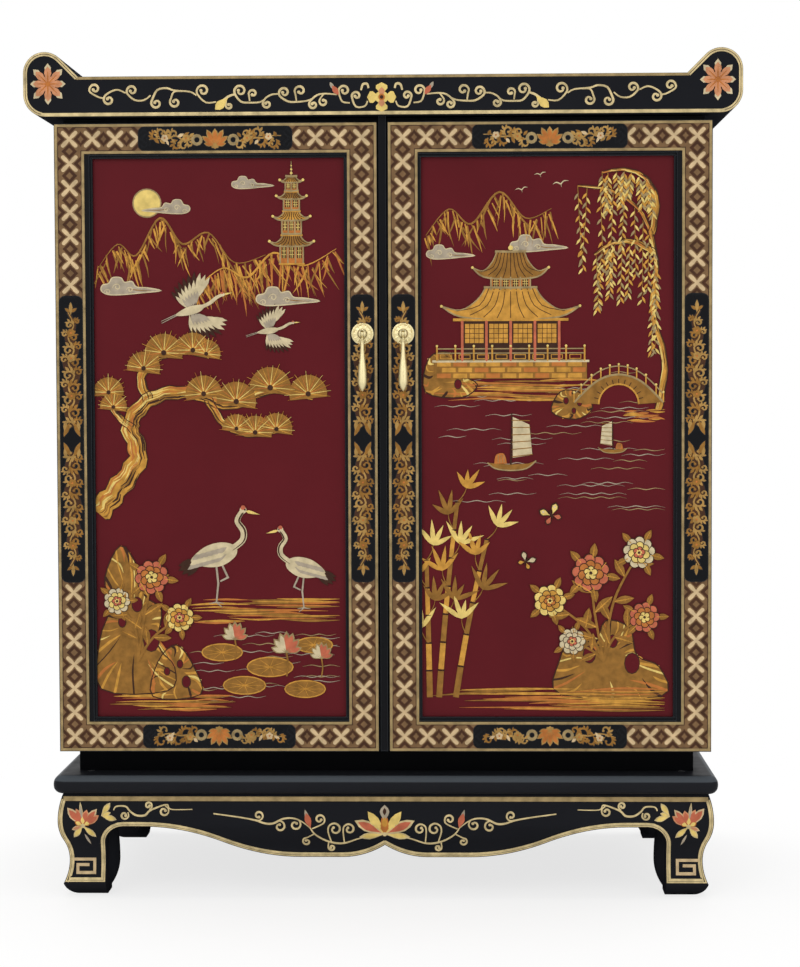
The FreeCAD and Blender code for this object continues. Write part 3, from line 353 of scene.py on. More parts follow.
def make_finish(name, hues):
    """Builds a finish by the name that pieces ask for it."""
    if name == "black":
        # Its edges turn bluish grey, partly wear and partly a painted highlight
        return lacquer("black_satin_lacquer", hues.black, gloss=0.3, shine=0.08, edge_wear_and_highlight=linear("#454A50"))
    # Matte, with the lacquer's sheen painted into a lighter colour
    if name == "dull_black":
        return lacquer("black_dull_lacquer", hues.dull_black, gloss=0.5, shine=0.0, edge_wear_and_highlight=hues.dull_black)
    # Black darkened as painted shade for the shaded waist
    if name == "deep_black":
        return lacquer("black_shaded_lacquer", hues.deep_black, gloss=0.4, shine=0.02, edge_wear_and_highlight=hues.deep_black)
    # The stand's board: matte black with a highlight painted on its upper round
    if name == "moulding":
        ground, crown = hues.dull_black, hues.painted_highlight_tone
        return lacquer("black_moulding_lacquer", ground, gloss=0.4, shine=0.03, edge_wear_and_highlight=ground, crown=crown)
    if name == "red":
        return lacquer("oxblood_satin_lacquer", hues.red, gloss=0.34, shine=0.08, edge_wear_and_highlight=linear("#6E2A2A"))
    if name == "brass":
        return metal("polished_brass", hues.brass, roughness=0.46, tarnish=0.85)
    if name == "steel":
        return metal("zinc_plated_steel", hues.steel, roughness=0.34, tarnish=0.8)
    if name == "beech":
        return wood("turned_beech", hues.beech, grain_way="Z", roughness=0.55)
    if name == "stain":
        return wood("stained_plywood", hues.stain, grain_way="X", roughness=0.42)
    if name == "plastic":
        return moulded_plastic("brown_abs_plastic", hues.plastic)
    if name in ("gilt", "cream", "gold", "old_gold", "bronze"):
        return paint(name + "_bronze_powder_paint", getattr(hues, name), metallic=0.3, roughness=0.44)
    return paint(name + "_tempera_paint", getattr(hues, name), metallic=0.0, roughness=0.5, depth=0.72)


FINISHES = {}


def finish(name):
    """The material of a finish, made the first time it is asked for."""
    if name not in FINISHES:
        FINISHES[name] = make_finish(name, bpy.context.scene.cabinet_colours)
    return FINISHES[name]


# Lines and outlines on a face


def between(before, start, stop, after, share):
    """A number on the rounded way from start to stop, bent by the numbers before and after them."""
    square = 2 * before - 5 * start + 4 * stop - after
    cube = 3 * start - before - 3 * stop + after
    return 0.5 * (2 * start + (stop - before) * share + square * share**2 + cube * share**3)


def smooth(knots, steps=5, closed=False):
    """A rounded line through a few knots."""
    count = len(knots)
    line = []
    for i in range(count if closed else count - 1):
        near = [(i + j) % count if closed else min(max(i + j, 0), count - 1) for j in (-1, 0, 1, 2)]
        for step in range(steps):
            line.append(tuple(between(*four, step / steps) for four in zip(*[knots[n] for n in near])))
    return line if closed else line + [tuple(knots[-1])]


def polar(centre, radius, degrees):
    """The spot at a radius and an angle from a centre."""
    angle = math.radians(degrees)
    return centre[0] + radius * math.cos(angle), centre[1] + radius * math.sin(angle)


def arc(centre, radius, start, stop, steps=12):
    """A line along a circle, from one angle in degrees to another."""
    return [polar(centre, radius, start + (stop - start) * i / steps) for i in range(steps + 1)]


def circle(centre, radius, steps=12):
    return arc(centre, radius, 0, 360, steps)[:-1]


def tendril(start, heading, reach, turn, steps=18):
    """A line that leaves a spot at a heading and curls ever tighter through a turn in degrees."""
    spot, line = start, [start]
    for i in range(steps):
        share = (i + 0.5) / steps
        heading += turn * (1 + 4 * share) / 3 / steps
        spot = polar(spot, reach / steps, heading)
        line.append(spot)
    return line


def along(line, share):
    """The spot at a share of a line, and its heading there in degrees."""
    place = min(int(share * (len(line) - 1)), len(line) - 2)
    (a, b), (c, d) = line[place], line[place + 1]
    return line[place], math.degrees(math.atan2(d - b, c - a))


def petal(root, heading, reach, width, belly=0.55, steps=5):
    """A closed petal or leaf from its root, widest at the belly's share of its reach."""
    power = math.log(0.5) / math.log(belly)
    sides = []
    for i in range(1, steps):
        share = i / steps
        half = width / 2 * math.sin(math.pi * share**power)
        spot = polar(root, reach * share, heading)
        sides.append((polar(spot, half, heading + 90), polar(spot, half, heading - 90)))
    tip = polar(root, reach, heading)
    return [root] + [right for left, right in sides] + [tip] + [left for left, right in reversed(sides)]


def shifted(line, distance, closed=False):
    """A line moved to its left by a distance, with mitred corners."""
    count = len(line)
    moved = []
    for i, (a, u) in enumerate(line):
        ways = []
        for first, second in ((i - 1, i), (i, i + 1)):
            if closed or 0 <= first and second < count:
                (a0, u0), (a1, u1) = line[first % count], line[second % count]
                size = math.hypot(a1 - a0, u1 - u0)
                if size > 1e-6:
                    ways.append((-(u1 - u0) / size, (a1 - a0) / size))
        side = Vector((sum(w[0] for w in ways), sum(w[1] for w in ways)))
        side = side.normalized() if side.length > 1e-6 else Vector(ways[0])
        stretch = distance / max(0.45, side.dot(Vector(ways[0])))
        moved.append((a + side.x * stretch, u + side.y * stretch))
    return moved


def rectangle(left, low, right, high):
    return [(left, low), (right, low), (right, high), (left, high)]


class Paintwork:
    """Raised strokes and patches on one face, each a closed solid, gathered into one mesh."""

    # How deep a solid goes below the face, how much higher each next one lies, both in millimetres,
    # and the share of a stroke's lift that its sides have
    SINK = -0.05
    HAIR = 0.0004
    SHOULDER = 0.7

    def __init__(self, place, store=None, move=None, rise=0.0):
        self.place = place
        self.store = store or {"spots": [], "faces": [], "paints": [], "count": 0}
        self.move = move or Matrix.Identity(3)
        self.rise = rise
        self.lift = bpy.context.scene.cabinet_sizes.lift / MM

    def at(self, across, up, turn=0.0, scale=1.0, flip=False, rise=0.0):
        """The same paintwork drawn from another spot: turned in degrees, scaled, mirrored or raised."""
        c, s = scale * math.cos(math.radians(turn)), scale * math.sin(math.radians(turn))
        hand = -1 if flip else 1
        step = Matrix(((c * hand, -s, across), (s * hand, c, up), (0, 0, 1)))
        return Paintwork(self.place, self.store, self.move @ step, self.rise + rise)

    def level(self, lift):
        """How far a lift stands off the face; what is painted later lies a hair higher."""
        return self.lift * (self.rise + lift) + self.HAIR * self.store["count"]

    def add(self, paint_name, spots, faces):
        """Adds one solid, given as spots across, up and off the face, and its faces."""
        start = len(self.store["spots"])
        for across, up, height in spots:
            spot = self.move @ Vector((across, up, 1))
            self.store["spots"].append(self.place(spot.x, spot.y, height))
        for face in faces:
            self.store["faces"].append([start + i for i in face])
            self.store["paints"].append(paint_name)
        self.store["count"] += 1

    def stroke(self, paint_name, line, width, ends=(1.0, 1.0), lift=1.0, closed=False):
        """A line with a low ridge along it; ends are the shares of the width left at its two ends."""
        count = len(line)
        widths = []
        for i in range(count):
            share = i / max(1, count - 1)
            swell = [e + (1 - e) * min(1.0, t / 0.45) for e, t in zip(ends, (share, 1 - share))]
            widths.append(width / 2 * min(swell))
        ridge = self.level(lift)
        shoulder = ridge - self.lift * lift * (1 - self.SHOULDER)
        spots = []
        sides = shifted(line, 1.0, closed), shifted(line, -1.0, closed)
        for (a, u), (la, lu), (ra, ru), w in zip(line, *sides, widths):
            left, right = (a + (la - a) * w, u + (lu - u) * w), (a + (ra - a) * w, u + (ru - u) * w)
            spots += [(*left, self.SINK), (*right, self.SINK)]
            spots += [(*right, shoulder), (a, u, ridge), (*left, shoulder)]
        faces = []
        for i in range(count if closed else count - 1):
            here, there = 5 * i, 5 * ((i + 1) % count)
            for first in range(5):
                second = (first + 1) % 5
                faces.append((here + first, here + second, there + second, there + first))
        if not closed:
            faces += [(4, 3, 2, 1, 0), tuple(5 * count - 5 + i for i in range(5))]
        self.add(paint_name, spots, faces)

    def patch(self, paint_name, outline, lift=1.0, crown=0.0):
        """A filled outline with upright edges; a crown raises its middle."""
        count = len(outline)
        top = self.level(lift)
        spots = [(a, u, self.SINK) for a, u in outline] + [(a, u, top) for a, u in outline]
        faces = [(i, (i + 1) % count, count + (i + 1) % count, count + i) for i in range(count)]
        if crown:
            middle = [sum(part) / count for part in zip(*outline)]
            spots.append((*middle, top + self.lift * crown))
            faces += [(count + i, count + (i + 1) % count, 2 * count) for i in range(count)]
            faces.append(tuple(range(count)))
        else:
            flat = tessellate_polygon([[Vector((a, u, 0)) for a, u in outline]])
            faces += [tuple(count + i for i in three) for three in flat]
            faces += [tuple(reversed(three)) for three in flat]
        self.add(paint_name, spots, faces)

    def dot(self, paint_name, spot, radius, lift=1.0, crown=0.8):
        self.patch(paint_name, circle(spot, radius, 10), lift, crown)

    def leaf(self, paint_name, root, heading, reach, width, belly=0.55, lift=1.0, crown=0.8):
        self.patch(paint_name, petal(root, heading, reach, width, belly), lift, crown)

    def build(self, name, body):
        """Makes the mesh and lets it ride on a body."""
        sharp_angle = math.radians(38)
        mesh = bpy.data.meshes.new(name)
        mesh.from_pydata(self.store["spots"], [], self.store["faces"])
        names = sorted(set(self.store["paints"]))
        for paint_name in names:
            mesh.materials.append(finish(paint_name))
        mesh.polygons.foreach_set("material_index", [names.index(n) for n in self.store["paints"]])
        shape = bmesh.new()
        shape.from_mesh(mesh)
        bmesh.ops.recalc_face_normals(shape, faces=shape.faces)
        shape.to_mesh(mesh)
        shape.free()
        mesh.shade_smooth()
        mesh.set_sharp_from_angle(angle=sharp_angle)
        piece = bpy.data.objects.new(name, mesh)
        bpy.context.scene.collection.objects.link(piece)
        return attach(piece, body)


def on_front(face, flip=False):
    """Places a drawing on an upright face that looks to the front, mirrored for the right-hand side."""
    hand = -1 if flip else 1
    return lambda across, up, lift: Vector((hand * across, face - lift, up)) * MM


def spread(nodes):
    """The faces of some nodes as one searchable surface."""
    corners, faces = [], []
    for node in nodes:
        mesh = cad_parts[node].data
        start = len(corners)
        corners += [v.co.copy() for v in mesh.vertices]
        faces += [[start + i for i in polygon.vertices] for polygon in mesh.polygons]
    return BVHTree.FromPolygons(corners, faces)


def span(node):
    """Lowest and highest corner of a node in millimetres."""
    low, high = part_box(node)
    return low / MM, high / MM


# Small ornaments, each drawn round its own middle or from its own root


def scroll(work, paint_name, knots, centre, radius, start, turn, width):
    """A stem through knots that runs into a spiral, from an angle on its rim inwards through a turn."""
    bends, inner = 8, 0.3
    spiral = [
        polar(centre, radius * (1 - (1 - inner) * i / bends), start + turn * i / bends)
        for i in range(bends + 1)
    ]
    work.stroke(paint_name, smooth([*knots, *spiral], 3), width, (0.6, 0.8))
    work.dot(paint_name, spiral[-1], width * 0.7)


def framed_petal(work, root, heading, reach, width, fill, rim="cream", belly=0.6):
    """A petal with a rim of another paint."""
    work.leaf(rim, root, heading, reach, width, belly, 1.0, 0.2)
    start = polar(root, reach * 0.1, heading)
    work.leaf(fill, start, heading, reach * 0.78, width * 0.7, belly, 1.4, 0.6)


def rosette(work, radius):
    """The flower on a scroll end: eight pale-tipped petals that touch, with a golden line along each."""
    work.patch("salmon", circle((0, 0), radius * 0.42, 24), 0.8)
    for i in range(8):
        reach = radius * (0.95 if i % 4 == 0 else 1.1)
        work.leaf("ivory", (0, 0), 45 * i, reach, radius * 0.36, 0.74, 1.0, 0.2)
        work.leaf("salmon", (0, 0), 45 * i, reach * 0.84, radius * 0.4, 0.66, 1.3, 0.4)
        groove = [polar((0, 0), reach * share, 45 * i) for share in (0.12, 0.36, 0.62)]
        work.stroke("orange", groove, radius * 0.07, (1, 0.3), 2.2)
    work.dot("orange", (0, 0), radius * 0.13, 2.4)


def lotus(work, petals):
    """A lotus from the side; a petal is a heading, a reach, a width, and paints for its rim and middle."""
    for heading, reach, width, rim, fill in petals:
        framed_petal(work, (0, 0), heading, reach, width, fill, rim)
    work.dot("cream", (0, 0), 2.4, 1.8)


def peony(work, radius, outer, middle, heart):
    """A full flower: three rings of round petals with dark rims, each petal over the one before."""
    rim, step = 0.05, 0.06
    rings = ((9, 0.68, 0.32, outer), (7, 0.42, 0.27, middle), (5, 0.2, 0.19, heart))
    lift = 1.0
    for ring, (count, place, size, fill) in enumerate(rings):
        for i in range(count):
            spot = polar((0, 0), radius * place, 360 / count * (i + 0.5 * ring))
            work.patch("umber", circle(spot, radius * size), lift)
            work.patch(fill, circle(spot, radius * (size - rim)), lift + step / 2)
            lift += step
    work.dot("umber", (0, 0), radius * 0.13, lift)
    for i in range(6):
        work.dot("yellow", polar((0, 0), radius * 0.12, 60 * i), radius * 0.06, lift + step)


def blossom(work, radius, fill, heart="coral"):
    """A small five-petalled flower."""
    for i in range(5):
        work.patch(fill, circle(polar((0, 0), radius * 0.55, 72 * i + 90), radius * 0.46, 8), 1.3, 0.5)
    work.dot(heart, (0, 0), radius * 0.24, 2.0)


def veined_leaf(work, heading, reach, width, fill="old_gold", vein="gold"):
    """A leaf with a midrib and three pairs of veins."""
    work.leaf(fill, (0, 0), heading, reach, width, 0.5, 1.0, 0.4)
    midrib = [polar((0, 0), reach * share, heading) for share in (0.05, 0.5, 0.95)]
    work.stroke(vein, midrib, width * 0.12, (1, 0.3), 2.2)
    for share in (0.3, 0.5, 0.7):
        for side in (35, -35):
            root = polar((0, 0), reach * share, heading)
            tip = polar(root, width * 0.36 * (1.2 - share), heading + side)
            work.stroke(vein, [root, tip], width * 0.09, (1, 0.2), 2.0)


def leaf_scroll(work, reach, turn, width, fill="gold"):
    """A scrolling acanthus leaf along +across: a swelling curl with leaflets on its outer side."""
    line = tendril((0, 0), 0, reach, turn, 20)
    work.stroke(fill, line, width, (0.5, 0.45), 1.3)
    work.dot(fill, line[-1], width * 0.6, 1.3)
    side = -1 if turn > 0 else 1
    for share, size in ((0.06, 0.24), (0.18, 0.3), (0.31, 0.3), (0.46, 0.22)):
        spot, heading = along(line, share)
        work.leaf(fill, spot, heading + side * 46, reach * size, reach * size * 0.46, 0.5, 1.1, 0.4)


# Door frames


# Lift of the cartouches' black ground, over the diaper
RESERVE = 1.7


def diaper_cell(work, pitch):
    """One cell of the diaper: a bone cross of blunt diagonal arms, and half a dark lozenge at each side."""
    lozenge, core, reach, arm = pitch * 0.32, pitch * 0.15, pitch * 0.45, pitch * 0.085
    for i in range(4):
        side = polar((0, 0), pitch * 0.5, 90 * i)
        work.patch("russet", [polar(side, lozenge, 90 * i + quarter) for quarter in (90, 180, 270)], 0.75)
        work.patch("tan", [polar(side, core, 90 * i + quarter) for quarter in (90, 180, 270)], 0.95)
    end = [
        (0, -0.6 * arm), (0.55 * reach, -arm), (reach - 0.5 * arm, -0.9 * arm),
        (reach, -0.4 * arm), (reach, 0.4 * arm), (reach - 0.5 * arm, 0.9 * arm), (0.55 * reach, arm),
    ]
    for turn in (45, 135):
        work.at(0, 0, turn).patch("bone", end + [(-a, -u) for a, u in end], 1.0, 0.3)


def cartouche(work, length_mm, width):
    """A black reserve along +across, with rounded corners."""
    half, side, corner = length_mm / 2, width / 2, 7
    cap = arc((half - corner, corner - side), corner, 270, 360, 4)
    cap += arc((half - corner, side - corner), corner, 0, 90, 4)
    work.patch("black", cap + [(-a, u) for a, u in reversed(cap)], RESERVE)


# Petals as a heading, a reach and a width
PALMETTE = (
    (-170, 12, 5), (-10, 12, 5), (-145, 17, 6), (-35, 17, 6), (-118, 19, 6.5), (-62, 19, 6.5), (-90, 18, 7),
)


def rail_ornament(work, draw):
    """A palmette, two rings and wandering leaf scrolls in a rail's cartouche; the picture lies upwards."""
    first, last, step = 28, 66, 6.3
    for hand in (False, True):
        half = work.at(0, 0, flip=hand)
        stem = smooth([(across, draw.uniform(-3, 3)) for across in (22, 32, 42, 52, 62, 71)], 4)
        half.stroke("bronze", stem, 1.7, (1, 0.4), 1.1)
        for i in range(int((last - first) / step) + 1):
            spot, side = first + step * i, draw.choice((-1, 1))
            up, lean = draw.uniform(-2.5, 2.5), side * draw.uniform(20, 80)
            fill = draw.choice(("bronze", "old_gold"))
            reach, turn = draw.uniform(15, 19), side * draw.uniform(220, 320)
            leaf_scroll(half.at(spot, up, lean), reach, turn, 2.2, fill)
            fill = draw.choice(("bronze", "old_gold", "old_gold", "bone"))
            reach, width = draw.uniform(6, 8.5), draw.uniform(2.6, 3.8)
            half.leaf(fill, (spot, -up), lean + 180, reach, width, 0.5, 1.4, 0.5)
        blossom(half.at(draw.uniform(30, 36), draw.uniform(-2, 2), rise=0.5), 4.4, "bronze", "orange")
        blossom(half.at(draw.uniform(50, 60), draw.uniform(-2, 2), rise=0.5), 4, "bone", "orange")
        half.stroke("gilt", circle((19.5, 1.6), 4.6), 3.2, closed=True, lift=1.6)
    for heading, reach, width in PALMETTE:
        framed_petal(work.at(0, 7.5, rise=0.4), (0, 0), heading, reach, width, "orange", "bronze")
    for heading in (50, 90, 130):
        work.leaf("bronze", (0, 6), heading, 5.5, 4, 0.6, 1.6, 0.5)


def stile_ornament(work, length_mm):
    """A bronze vine with flowers on brown, along +across both ways from a bare lozenge at the middle."""
    start, reach, waves, swing = 15, length_mm / 2 - 18, 9, 3
    for hand in (False, True):
        half = work.at(0, 0, flip=hand)
        knots = [
            (start + (reach - start) * i / waves, swing if i % 2 else -swing) for i in range(waves + 1)
        ]
        half.stroke("russet", smooth(knots, 5), 13, (0.7, 0.2), 0.6)
        half.stroke("bronze", smooth(knots, 5), 1.9, (1, 0.6), 1.1)
        for i in range(waves):
            across, up = knots[i]
            side = 1 if up < 0 else -1
            share = min(1, 1.6 - i / waves)
            main, other = ("old_gold", "bronze") if i % 2 else ("bronze", "old_gold")
            leaf_scroll(half.at(across, up, 24 * side), 23 * share, side * 320, 2.4, main)
            leaf_scroll(half.at(across + 4, up, -30 * side), 16 * share, -side * 310, 2.1, other)
        for knot, fill in ((2, "old_gold"), (5, "bronze"), (7, "old_gold")):
            blossom(half.at(knots[knot][0] + 5, 0, rise=0.6), 4.6, fill, "orange")
        for heading in (-55, 55):
            half.leaf("old_gold", (reach, 0), heading, 8, 3.4, 0.5, 1.2, 0.5)
        half.leaf("bronze", (reach - 3, 0), 0, 14, 4, 0.55, 1.5, 0.5)
        for side in (-1, 1):
            half.leaf("old_gold", (3, 9 * side), -24 * side, 17, 5, 0.5, 1.2, 0.5)
            half.leaf("bronze", (9, 8 * side), -8 * side, 12, 4, 0.5, 1.3, 0.5)


def paint_frame(work, sizes, door):
    """Lines, diaper and cartouches of one door frame; the door is given as left, low, right and high."""
    gilt, band = sizes.gilt_width / MM, sizes.band_width / MM
    left, low, right, high = door
    edge, thin = 0.8, 0.9
    strips = [
        (left + edge, low + edge, left + band, high - edge),
        (right - band, low + edge, right - edge, high - edge),
        (left + band, low + edge, right - band, low + band),
        (left + band, high - band, right - band, high - edge),
    ]
    for corners in strips:
        work.patch("tan", rectangle(*corners), 0.5)

    def loop(paint_name, inset, width, lift):
        corners = rectangle(left + inset, low + inset, right - inset, high - inset)
        work.stroke(paint_name, corners, width, lift=lift, closed=True)

    loop("gilt", edge + gilt / 2, gilt, 1.9)
    loop("umber", edge + gilt + thin / 2, thin, 0.9)
    loop("umber", band - gilt - thin / 2, thin, 0.9)
    loop("gilt", band - gilt / 2, gilt, 1.9)

    pitch, centre = sizes.diaper_pitch / MM, (edge + band) / 2
    rail_free = ((right - left) - sizes.rail_cartouche / MM) / 2 - centre
    stile_free = ((high - low) - sizes.stile_cartouche / MM) / 2 - centre
    rail_cells = round(rail_free / pitch)
    up_steps = [centre + pitch * i for i in range(round(stile_free / pitch) + 1)]
    side_steps = [centre + rail_free * i / rail_cells for i in range(1, rail_cells + 1)]
    stile_places = [up for step in up_steps for up in (low + step, high - step)]
    rail_places = [across for step in side_steps for across in (left + step, right - step)]
    spots = {(across, up) for across in (left + centre, right - centre) for up in stile_places}
    spots |= {(across, up) for up in (low + centre, high - centre) for across in rail_places}
    for across, up in sorted(spots):
        diaper_cell(work.at(across, up), pitch)

    draw = random.Random(7)
    reserve_width = band - edge - 2 * gilt
    middle, waist = (left + right) / 2, (low + high) / 2
    for up, turn in ((low + centre, 0), (high - centre, 180)):
        reserve = work.at(middle, up, turn, flip=turn > 0)
        cartouche(reserve, sizes.rail_cartouche / MM, reserve_width)
        rail_ornament(reserve.at(0, 0, rise=RESERVE), draw)
    for across in (left + centre, right - centre):
        reserve = work.at(across, waist, 90)
        cartouche(reserve, sizes.stile_cartouche / MM, reserve_width)
        stile_ornament(reserve.at(0, 0, rise=RESERVE), sizes.stile_cartouche / MM)


# Picture motifs, each drawn round its own foot or middle


def hill(work, draw, ridge, depth, paints):
    """A ridge with a dry-brushed flank: strokes hang from it and thin out downwards."""
    line = smooth(ridge, 7)
    for i, (across, up) in enumerate(line[:-1]):
        for paint_name in paints:
            lean = draw.uniform(-62, -118) if i % 2 else draw.uniform(-50, -86)
            reach = depth * draw.uniform(0.25, 1.0)
            start = (across + draw.uniform(-2, 2), up - draw.uniform(0, depth * 0.2))
            brushed = tendril(start, lean, reach, draw.uniform(-16, 16), 3)
            work.stroke(paint_name, brushed, draw.uniform(1.2, 2.6), (0.8, 0.1), 0.9)
    work.stroke(paints[0], line, 2.2, (0.3, 0.3), 1.6)


def ground(work, draw, left, right, depth, count, paints):
    """Dry strokes of gold along the ground."""
    for i in range(count):
        start = draw.uniform(left, right - (right - left) * 0.3)
        reach = draw.uniform(0.25, 0.6) * (right - left)
        stop = min(start + reach, right)
        up = -depth * i / count
        head = (start, up + draw.uniform(-1, 1))
        bend = ((start + stop) / 2, up + draw.uniform(-1.5, 2))
        line = smooth([head, bend, (stop, up)], 4)
        work.stroke(paints[i % len(paints)], line, draw.uniform(1.4, 3.4), (0.1, 0.1), 0.9)


def water(work, draw, left, right, high, low, count):
    """Thin ripples."""
    swing, bend_length = 0.9, 9
    for i in range(count):
        up = low + (high - low) * i / count + draw.uniform(-2, 2)
        start = draw.uniform(left, right - 30)
        stop = min(start + draw.uniform(24, 76), right)
        bends = max(3, int((stop - start) / bend_length))
        knots = [
            (start + (stop - start) * k / bends, up + (swing if k % 2 else -swing)) for k in range(bends + 1)
        ]
        work.stroke("grey" if i % 3 else "gilt", smooth(knots, 3), 0.9, (0.2, 0.2), 0.8)


def cloud(work):
    """A drifting cloud with curled heads and a long tail, about 60 mm long."""
    knots = [
        (0, 0), (1, 6), (8, 8), (12, 14), (21, 14), (25, 9), (33, 10),
        (38, 4), (50, 3), (64, 0), (46, -2), (24, -4), (8, -4),
    ]
    outline = smooth(knots, 4, True)
    work.patch("grey", outline, 0.8)
    work.stroke("ivory", outline, 1.3, closed=True, lift=1.8)
    for start, heading, reach in (((3, -1), 70, 15), ((12, 3), 80, 20), ((27, 1), 70, 16)):
        work.stroke("ivory", tendril(start, heading, reach, -380), 1.2, (0.6, 1), 1.8)
    work.stroke("old_gold", smooth([(30, 2), (40, 0.5), (54, 0)], 4), 0.9, (0.4, 0.2), 1.6)


def roof(work, width, rise, fill):
    """A swept tiled roof standing on its eaves."""
    half, tip, ridge = width / 2, rise * 0.42, width * 0.18
    slope = [(half, tip), (half * 0.72, rise * 0.3), (half * 0.48, rise * 0.62), (ridge, rise)]
    knee, dip = half * 0.7, 0.08 * rise
    eave = smooth([(-half, tip), (-knee, dip), (0, 0), (knee, dip), (half, tip)], 4)
    side = smooth(slope, 4)
    outline = eave + side[1:] + [(-a, u) for a, u in reversed(side)][:-1]
    work.patch(fill, outline, 1.2)
    for i in range(-4, 5):
        share = i / 4.6
        foot = (half * 0.9 * share, rise * 0.05 + tip * 0.8 * abs(share) ** 3)
        head = (ridge * share, rise * 0.97)
        bend = (half * 0.52 * share, rise * 0.44)
        work.stroke("umber", smooth([foot, bend, head], 3), 0.8, lift=1.8)
    work.stroke("gilt", eave, 1.7, lift=2.2)
    work.stroke("gilt", [(-ridge - 2, rise), (0, rise - 0.5), (ridge + 2, rise)], 2.4, lift=2.4)
    for hand in (False, True):
        work.at(0, 0, flip=hand).stroke("gilt", side, 1.3, lift=2.0)
        work.at(0, 0, flip=hand).dot("yellow", (half, tip), 1.5, 2.0)


def storey(work, width, height, bays):
    """A wall with posts, lattice windows and a sill."""
    work.patch("orange", rectangle(-width / 2, 0, width / 2, height), 0.9)
    bay = width / bays
    for i in range(bays + 1):
        across = -width / 2 + bay * i
        work.stroke("gilt", [(across, 0), (across, height)], 1.6, lift=1.9)
    for i in range(bays):
        left = -width / 2 + bay * (i + 0.2)
        pane = rectangle(left, height * 0.3, left + bay * 0.6, height * 0.86)
        work.patch("umber", pane, 1.2)
        for share in (0.33, 0.67):
            across = left + bay * 0.6 * share
            work.stroke("yellow", [(across, height * 0.3), (across, height * 0.86)], 0.6, lift=1.8)
            up = height * (0.3 + 0.56 * share)
            work.stroke("yellow", [(left, up), (left + bay * 0.6, up)], 0.6, lift=1.8)
    work.stroke("gold", [(-width / 2 - 1.5, 0), (width / 2 + 1.5, 0)], 2.0, lift=2.0)


def pagoda(work, tiers, width):
    """A tower of storeys that draw in as they rise."""
    up = 0.0
    for i in range(tiers):
        size = width * (1 - 0.16 * i)
        height = size * 0.52
        storey(work.at(0, up), size * 0.62, height, 3 if i < 2 else 2)
        roof(work.at(0, up + height * 0.9), size * 1.2, size * 0.34, "gold" if i % 2 else "old_gold")
        up += height * 0.9 + size * 0.3
    work.stroke("gilt", [(0, up), (0, up + width * 0.42)], 1.6, (1, 0.3), 1.8)
    for share in (0.1, 0.2, 0.3):
        work.dot("yellow", (0, up + width * share), 1.7 - 3 * share, 2.0)


def railing(work, width, height):
    """Balusters between two rails, with fretted panels."""
    bays = max(2, round(width / (height * 1.7)))
    for up in (0, height * 0.62, height):
        work.stroke("gilt", [(0, up), (width, up)], 1.3, lift=2.0)
    for i in range(bays + 1):
        across = width * i / bays
        work.stroke("gold", [(across, -1), (across, height * 1.2)], 1.8, lift=2.2)
        work.dot("yellow", (across, height * 1.25), 1.3, 2.0)
    for i in range(bays):
        start, step = width * i / bays, width / bays
        box = rectangle(start + step * 0.2, height * 0.14, start + step * 0.8, height * 0.48)
        work.stroke("gold", box, 0.8, lift=1.6, closed=True)


def pavilion(work, width):
    """An open garden hall on a stone terrace, under a double roof."""
    terrace, height = width * 0.15, width * 0.36
    work.patch("old_gold", rectangle(-width * 0.66, 0, width * 0.66, terrace), 0.9)
    for row in range(3):
        up = terrace * (row + 0.5) / 3
        for i in range(9):
            start = -width * 0.64 + width * 1.28 * (i + 0.3 * (row % 2)) / 9
            stop = min(start + width * 0.12, width * 0.65)
            box = rectangle(start, up - terrace * 0.13, stop, up + terrace * 0.13)
            work.patch("gold" if (i + row) % 3 else "orange", box, 1.3)
    work.stroke("ivory", [(-width * 0.68, terrace), (width * 0.68, terrace)], 2.4, lift=2.0)
    railing(work.at(-width * 0.64, terrace + 1), width * 1.28, width * 0.1)
    work.patch("umber", rectangle(-width * 0.42, terrace, width * 0.42, terrace + height), 0.7)
    for i in range(5):
        across = -width * 0.42 + width * 0.21 * i
        work.stroke("coral", [(across, terrace), (across, terrace + height)], 2.8, lift=2.2)
        if i < 4:
            sill, head = terrace + height * 0.44, terrace + height * 0.9
            screen = rectangle(across + 3, sill, across + width * 0.21 - 3, head)
            work.patch("gold", screen, 1.2)
            for share in (0.25, 0.5, 0.75):
                bar = screen[0][0] + (screen[1][0] - screen[0][0]) * share
                work.stroke("umber", [(bar, screen[0][1]), (bar, screen[2][1])], 0.6, lift=1.8)
                level = screen[0][1] + (screen[2][1] - screen[0][1]) * share
                work.stroke("umber", [(screen[0][0], level), (screen[1][0], level)], 0.6, lift=1.8)
    work.stroke("gold", [(-width * 0.5, terrace + height), (width * 0.5, terrace + height)], 3.0, lift=2.4)
    roof(work.at(0, terrace + height), width * 1.2, width * 0.28, "gold")
    storey(work.at(0, terrace + height + width * 0.25), width * 0.34, width * 0.12, 4)
    roof(work.at(0, terrace + height + width * 0.35), width * 0.66, width * 0.24, "old_gold")
    work.dot("yellow", (0, terrace + height + width * 0.62), 2.6, 2.4)


def bridge(work, width, rise):
    """A humped bridge over one arch, with a railing that follows its back."""
    middle, flank, reach = width * 0.5, rise * 0.75, rise * 0.72
    back = smooth([(0, 0), (width * 0.25, flank), (middle, rise), (width * 0.75, flank), (width, 0)], 5)
    arch = arc((middle, -2), reach, 0, 180, 12)
    outline = back + [(middle + reach, -2)] + arch[1:-1] + [(middle - reach, -2)]
    work.patch("old_gold", outline, 1.0)
    work.stroke("gilt", back, 2.2, lift=2.2)
    work.stroke("gold", arch, 1.8, lift=2.0)
    for i in range(1, 12):
        wedge = [polar((middle, -2), radius, 15 * i) for radius in (reach, rise * 0.9)]
        work.stroke("umber", wedge, 0.8, lift=1.8)
    rail = [(a, u + 9) for a, u in back]
    work.stroke("gilt", rail, 1.3, lift=2.0)
    for i in range(0, len(back), 2):
        a, u = back[i]
        work.stroke("gold", [(a, u), (a, u + 10.5)], 1.4, lift=2.2)
        work.dot("yellow", (a, u + 11), 1.2, 2.0)


